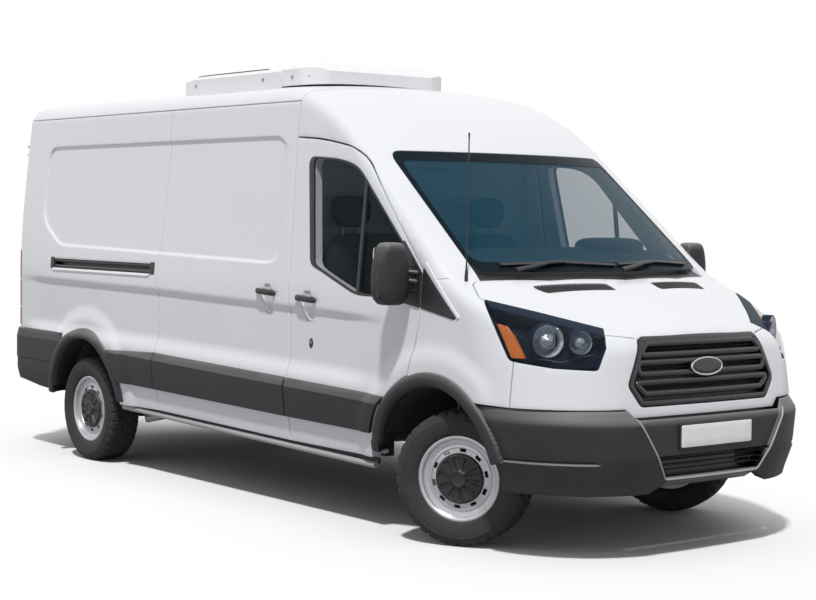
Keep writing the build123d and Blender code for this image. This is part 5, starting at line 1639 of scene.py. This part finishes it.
# White surroundings, dimmer as light than as they look
SKY = 0.36
PURE_WHITE = (1, 1, 1, 1)
world = bpy.data.worlds.new("surroundings")
scene.world = world
world.use_nodes = True
tree = world.node_tree
rays = node(tree, "LightPath", {}).outputs
seen = node(tree, "Math", {0: rays["Is Camera Ray"], 1: rays["Is Transmission Ray"]}, operation="MAXIMUM")
shown = node(tree, "Math", {0: seen.outputs[0], 1: rays["Is Glossy Ray"]}, operation="MAXIMUM")
strength = node(tree, "MapRange", {"To Min": SKY, "To Max": 1, "Value": shown.outputs[0]})
background = tree.nodes["Background"]
tree.links.new(strength.outputs["Result"], background.inputs["Strength"])
background.inputs["Color"].default_value = PURE_WHITE

# Sun
SUN_FROM = (170, -185, 450)
sun = bpy.data.objects.new("sun", bpy.data.lights.new("sun", "SUN"))
sun.data.energy = 2.7
sun.data.angle = math.radians(4)
sun.rotation_euler = Vector(SUN_FROM).to_track_quat("Z", "Y").to_euler()
scene.collection.objects.link(sun)

# Pale floor that takes shadows near the van and fades to white. To other light it is grey.
FLOOR = 60
NEAR_SHAPE = (0.24, 0.52, 0)
floor_mesh = bpy.data.meshes.new("floor")
floor_mesh.from_pydata([(-FLOOR, -FLOOR, 0), (FLOOR, -FLOOR, 0), (FLOOR, FLOOR, 0), (-FLOOR, FLOOR, 0)], [],
                       [(0, 1, 2, 3)])
floor = bpy.data.objects.new("floor", floor_mesh)
scene.collection.objects.link(floor)
paper = bpy.data.materials.new("floor_white")
paper.use_nodes = True
tree = paper.node_tree
diffuse = node(tree, "BsdfDiffuse", {"Color": (0.9, 0.9, 0.9, 1)})
glow = node(tree, "Emission", {"Color": PURE_WHITE})
place = node(tree, "TexCoord", {})
stretch = node(tree, "VectorMath", {0: place.outputs["Object"], 1: NEAR_SHAPE}, operation="MULTIPLY")
far = node(tree, "VectorMath", {0: stretch.outputs[0]}, operation="LENGTH")
fade = node(tree, "MapRange", {"From Min": 0.62, "From Max": 1.25, "Value": far.outputs["Value"]},
            interpolation_type="SMOOTHSTEP")
blend = node(tree, "MixShader", {"Fac": fade.outputs["Result"], 1: diffuse.outputs[0], 2: glow.outputs[0]})
ground = node(tree, "BsdfDiffuse", {"Color": (0.44, 0.44, 0.45, 1)})
rays = node(tree, "LightPath", {}).outputs
choose = node(tree, "MixShader", {"Fac": rays["Is Camera Ray"], 1: ground.outputs[0], 2: blend.outputs[0]})
tree.links.new(choose.outputs[0], tree.nodes["Material Output"].inputs["Surface"])
floor_mesh.materials.append(paper)

# Finishes for the CAD nodes that are kept
KEPT = {"paint_white": WHITE, "dark_plastic": PLASTIC, "tyre_rubber": RUBBER, "wheel_silver": SILVER,
        "glass": GLASS, "lamp_clear": CLEAR, "lamp_red": RED, "lamp_case": LAMP_DARK,
        "underbody_paint": UNDER, "cast_metal": CAST, "exhaust_steel": STEEL, "unit_white": UNIT,
        "bulkhead_grey": GREY, "cab_plastic": DASH, "seat_fabric": FABRIC}
for part in frame["nodes"].values():
    for slot in part.material_slots:
        for word, made in KEPT.items():
            if slot.material and slot.material.name.split(".")[0] == word:
                slot.material = made
frame["nodes"]["windscreen"].material_slots[0].material = SCREEN_GLASS
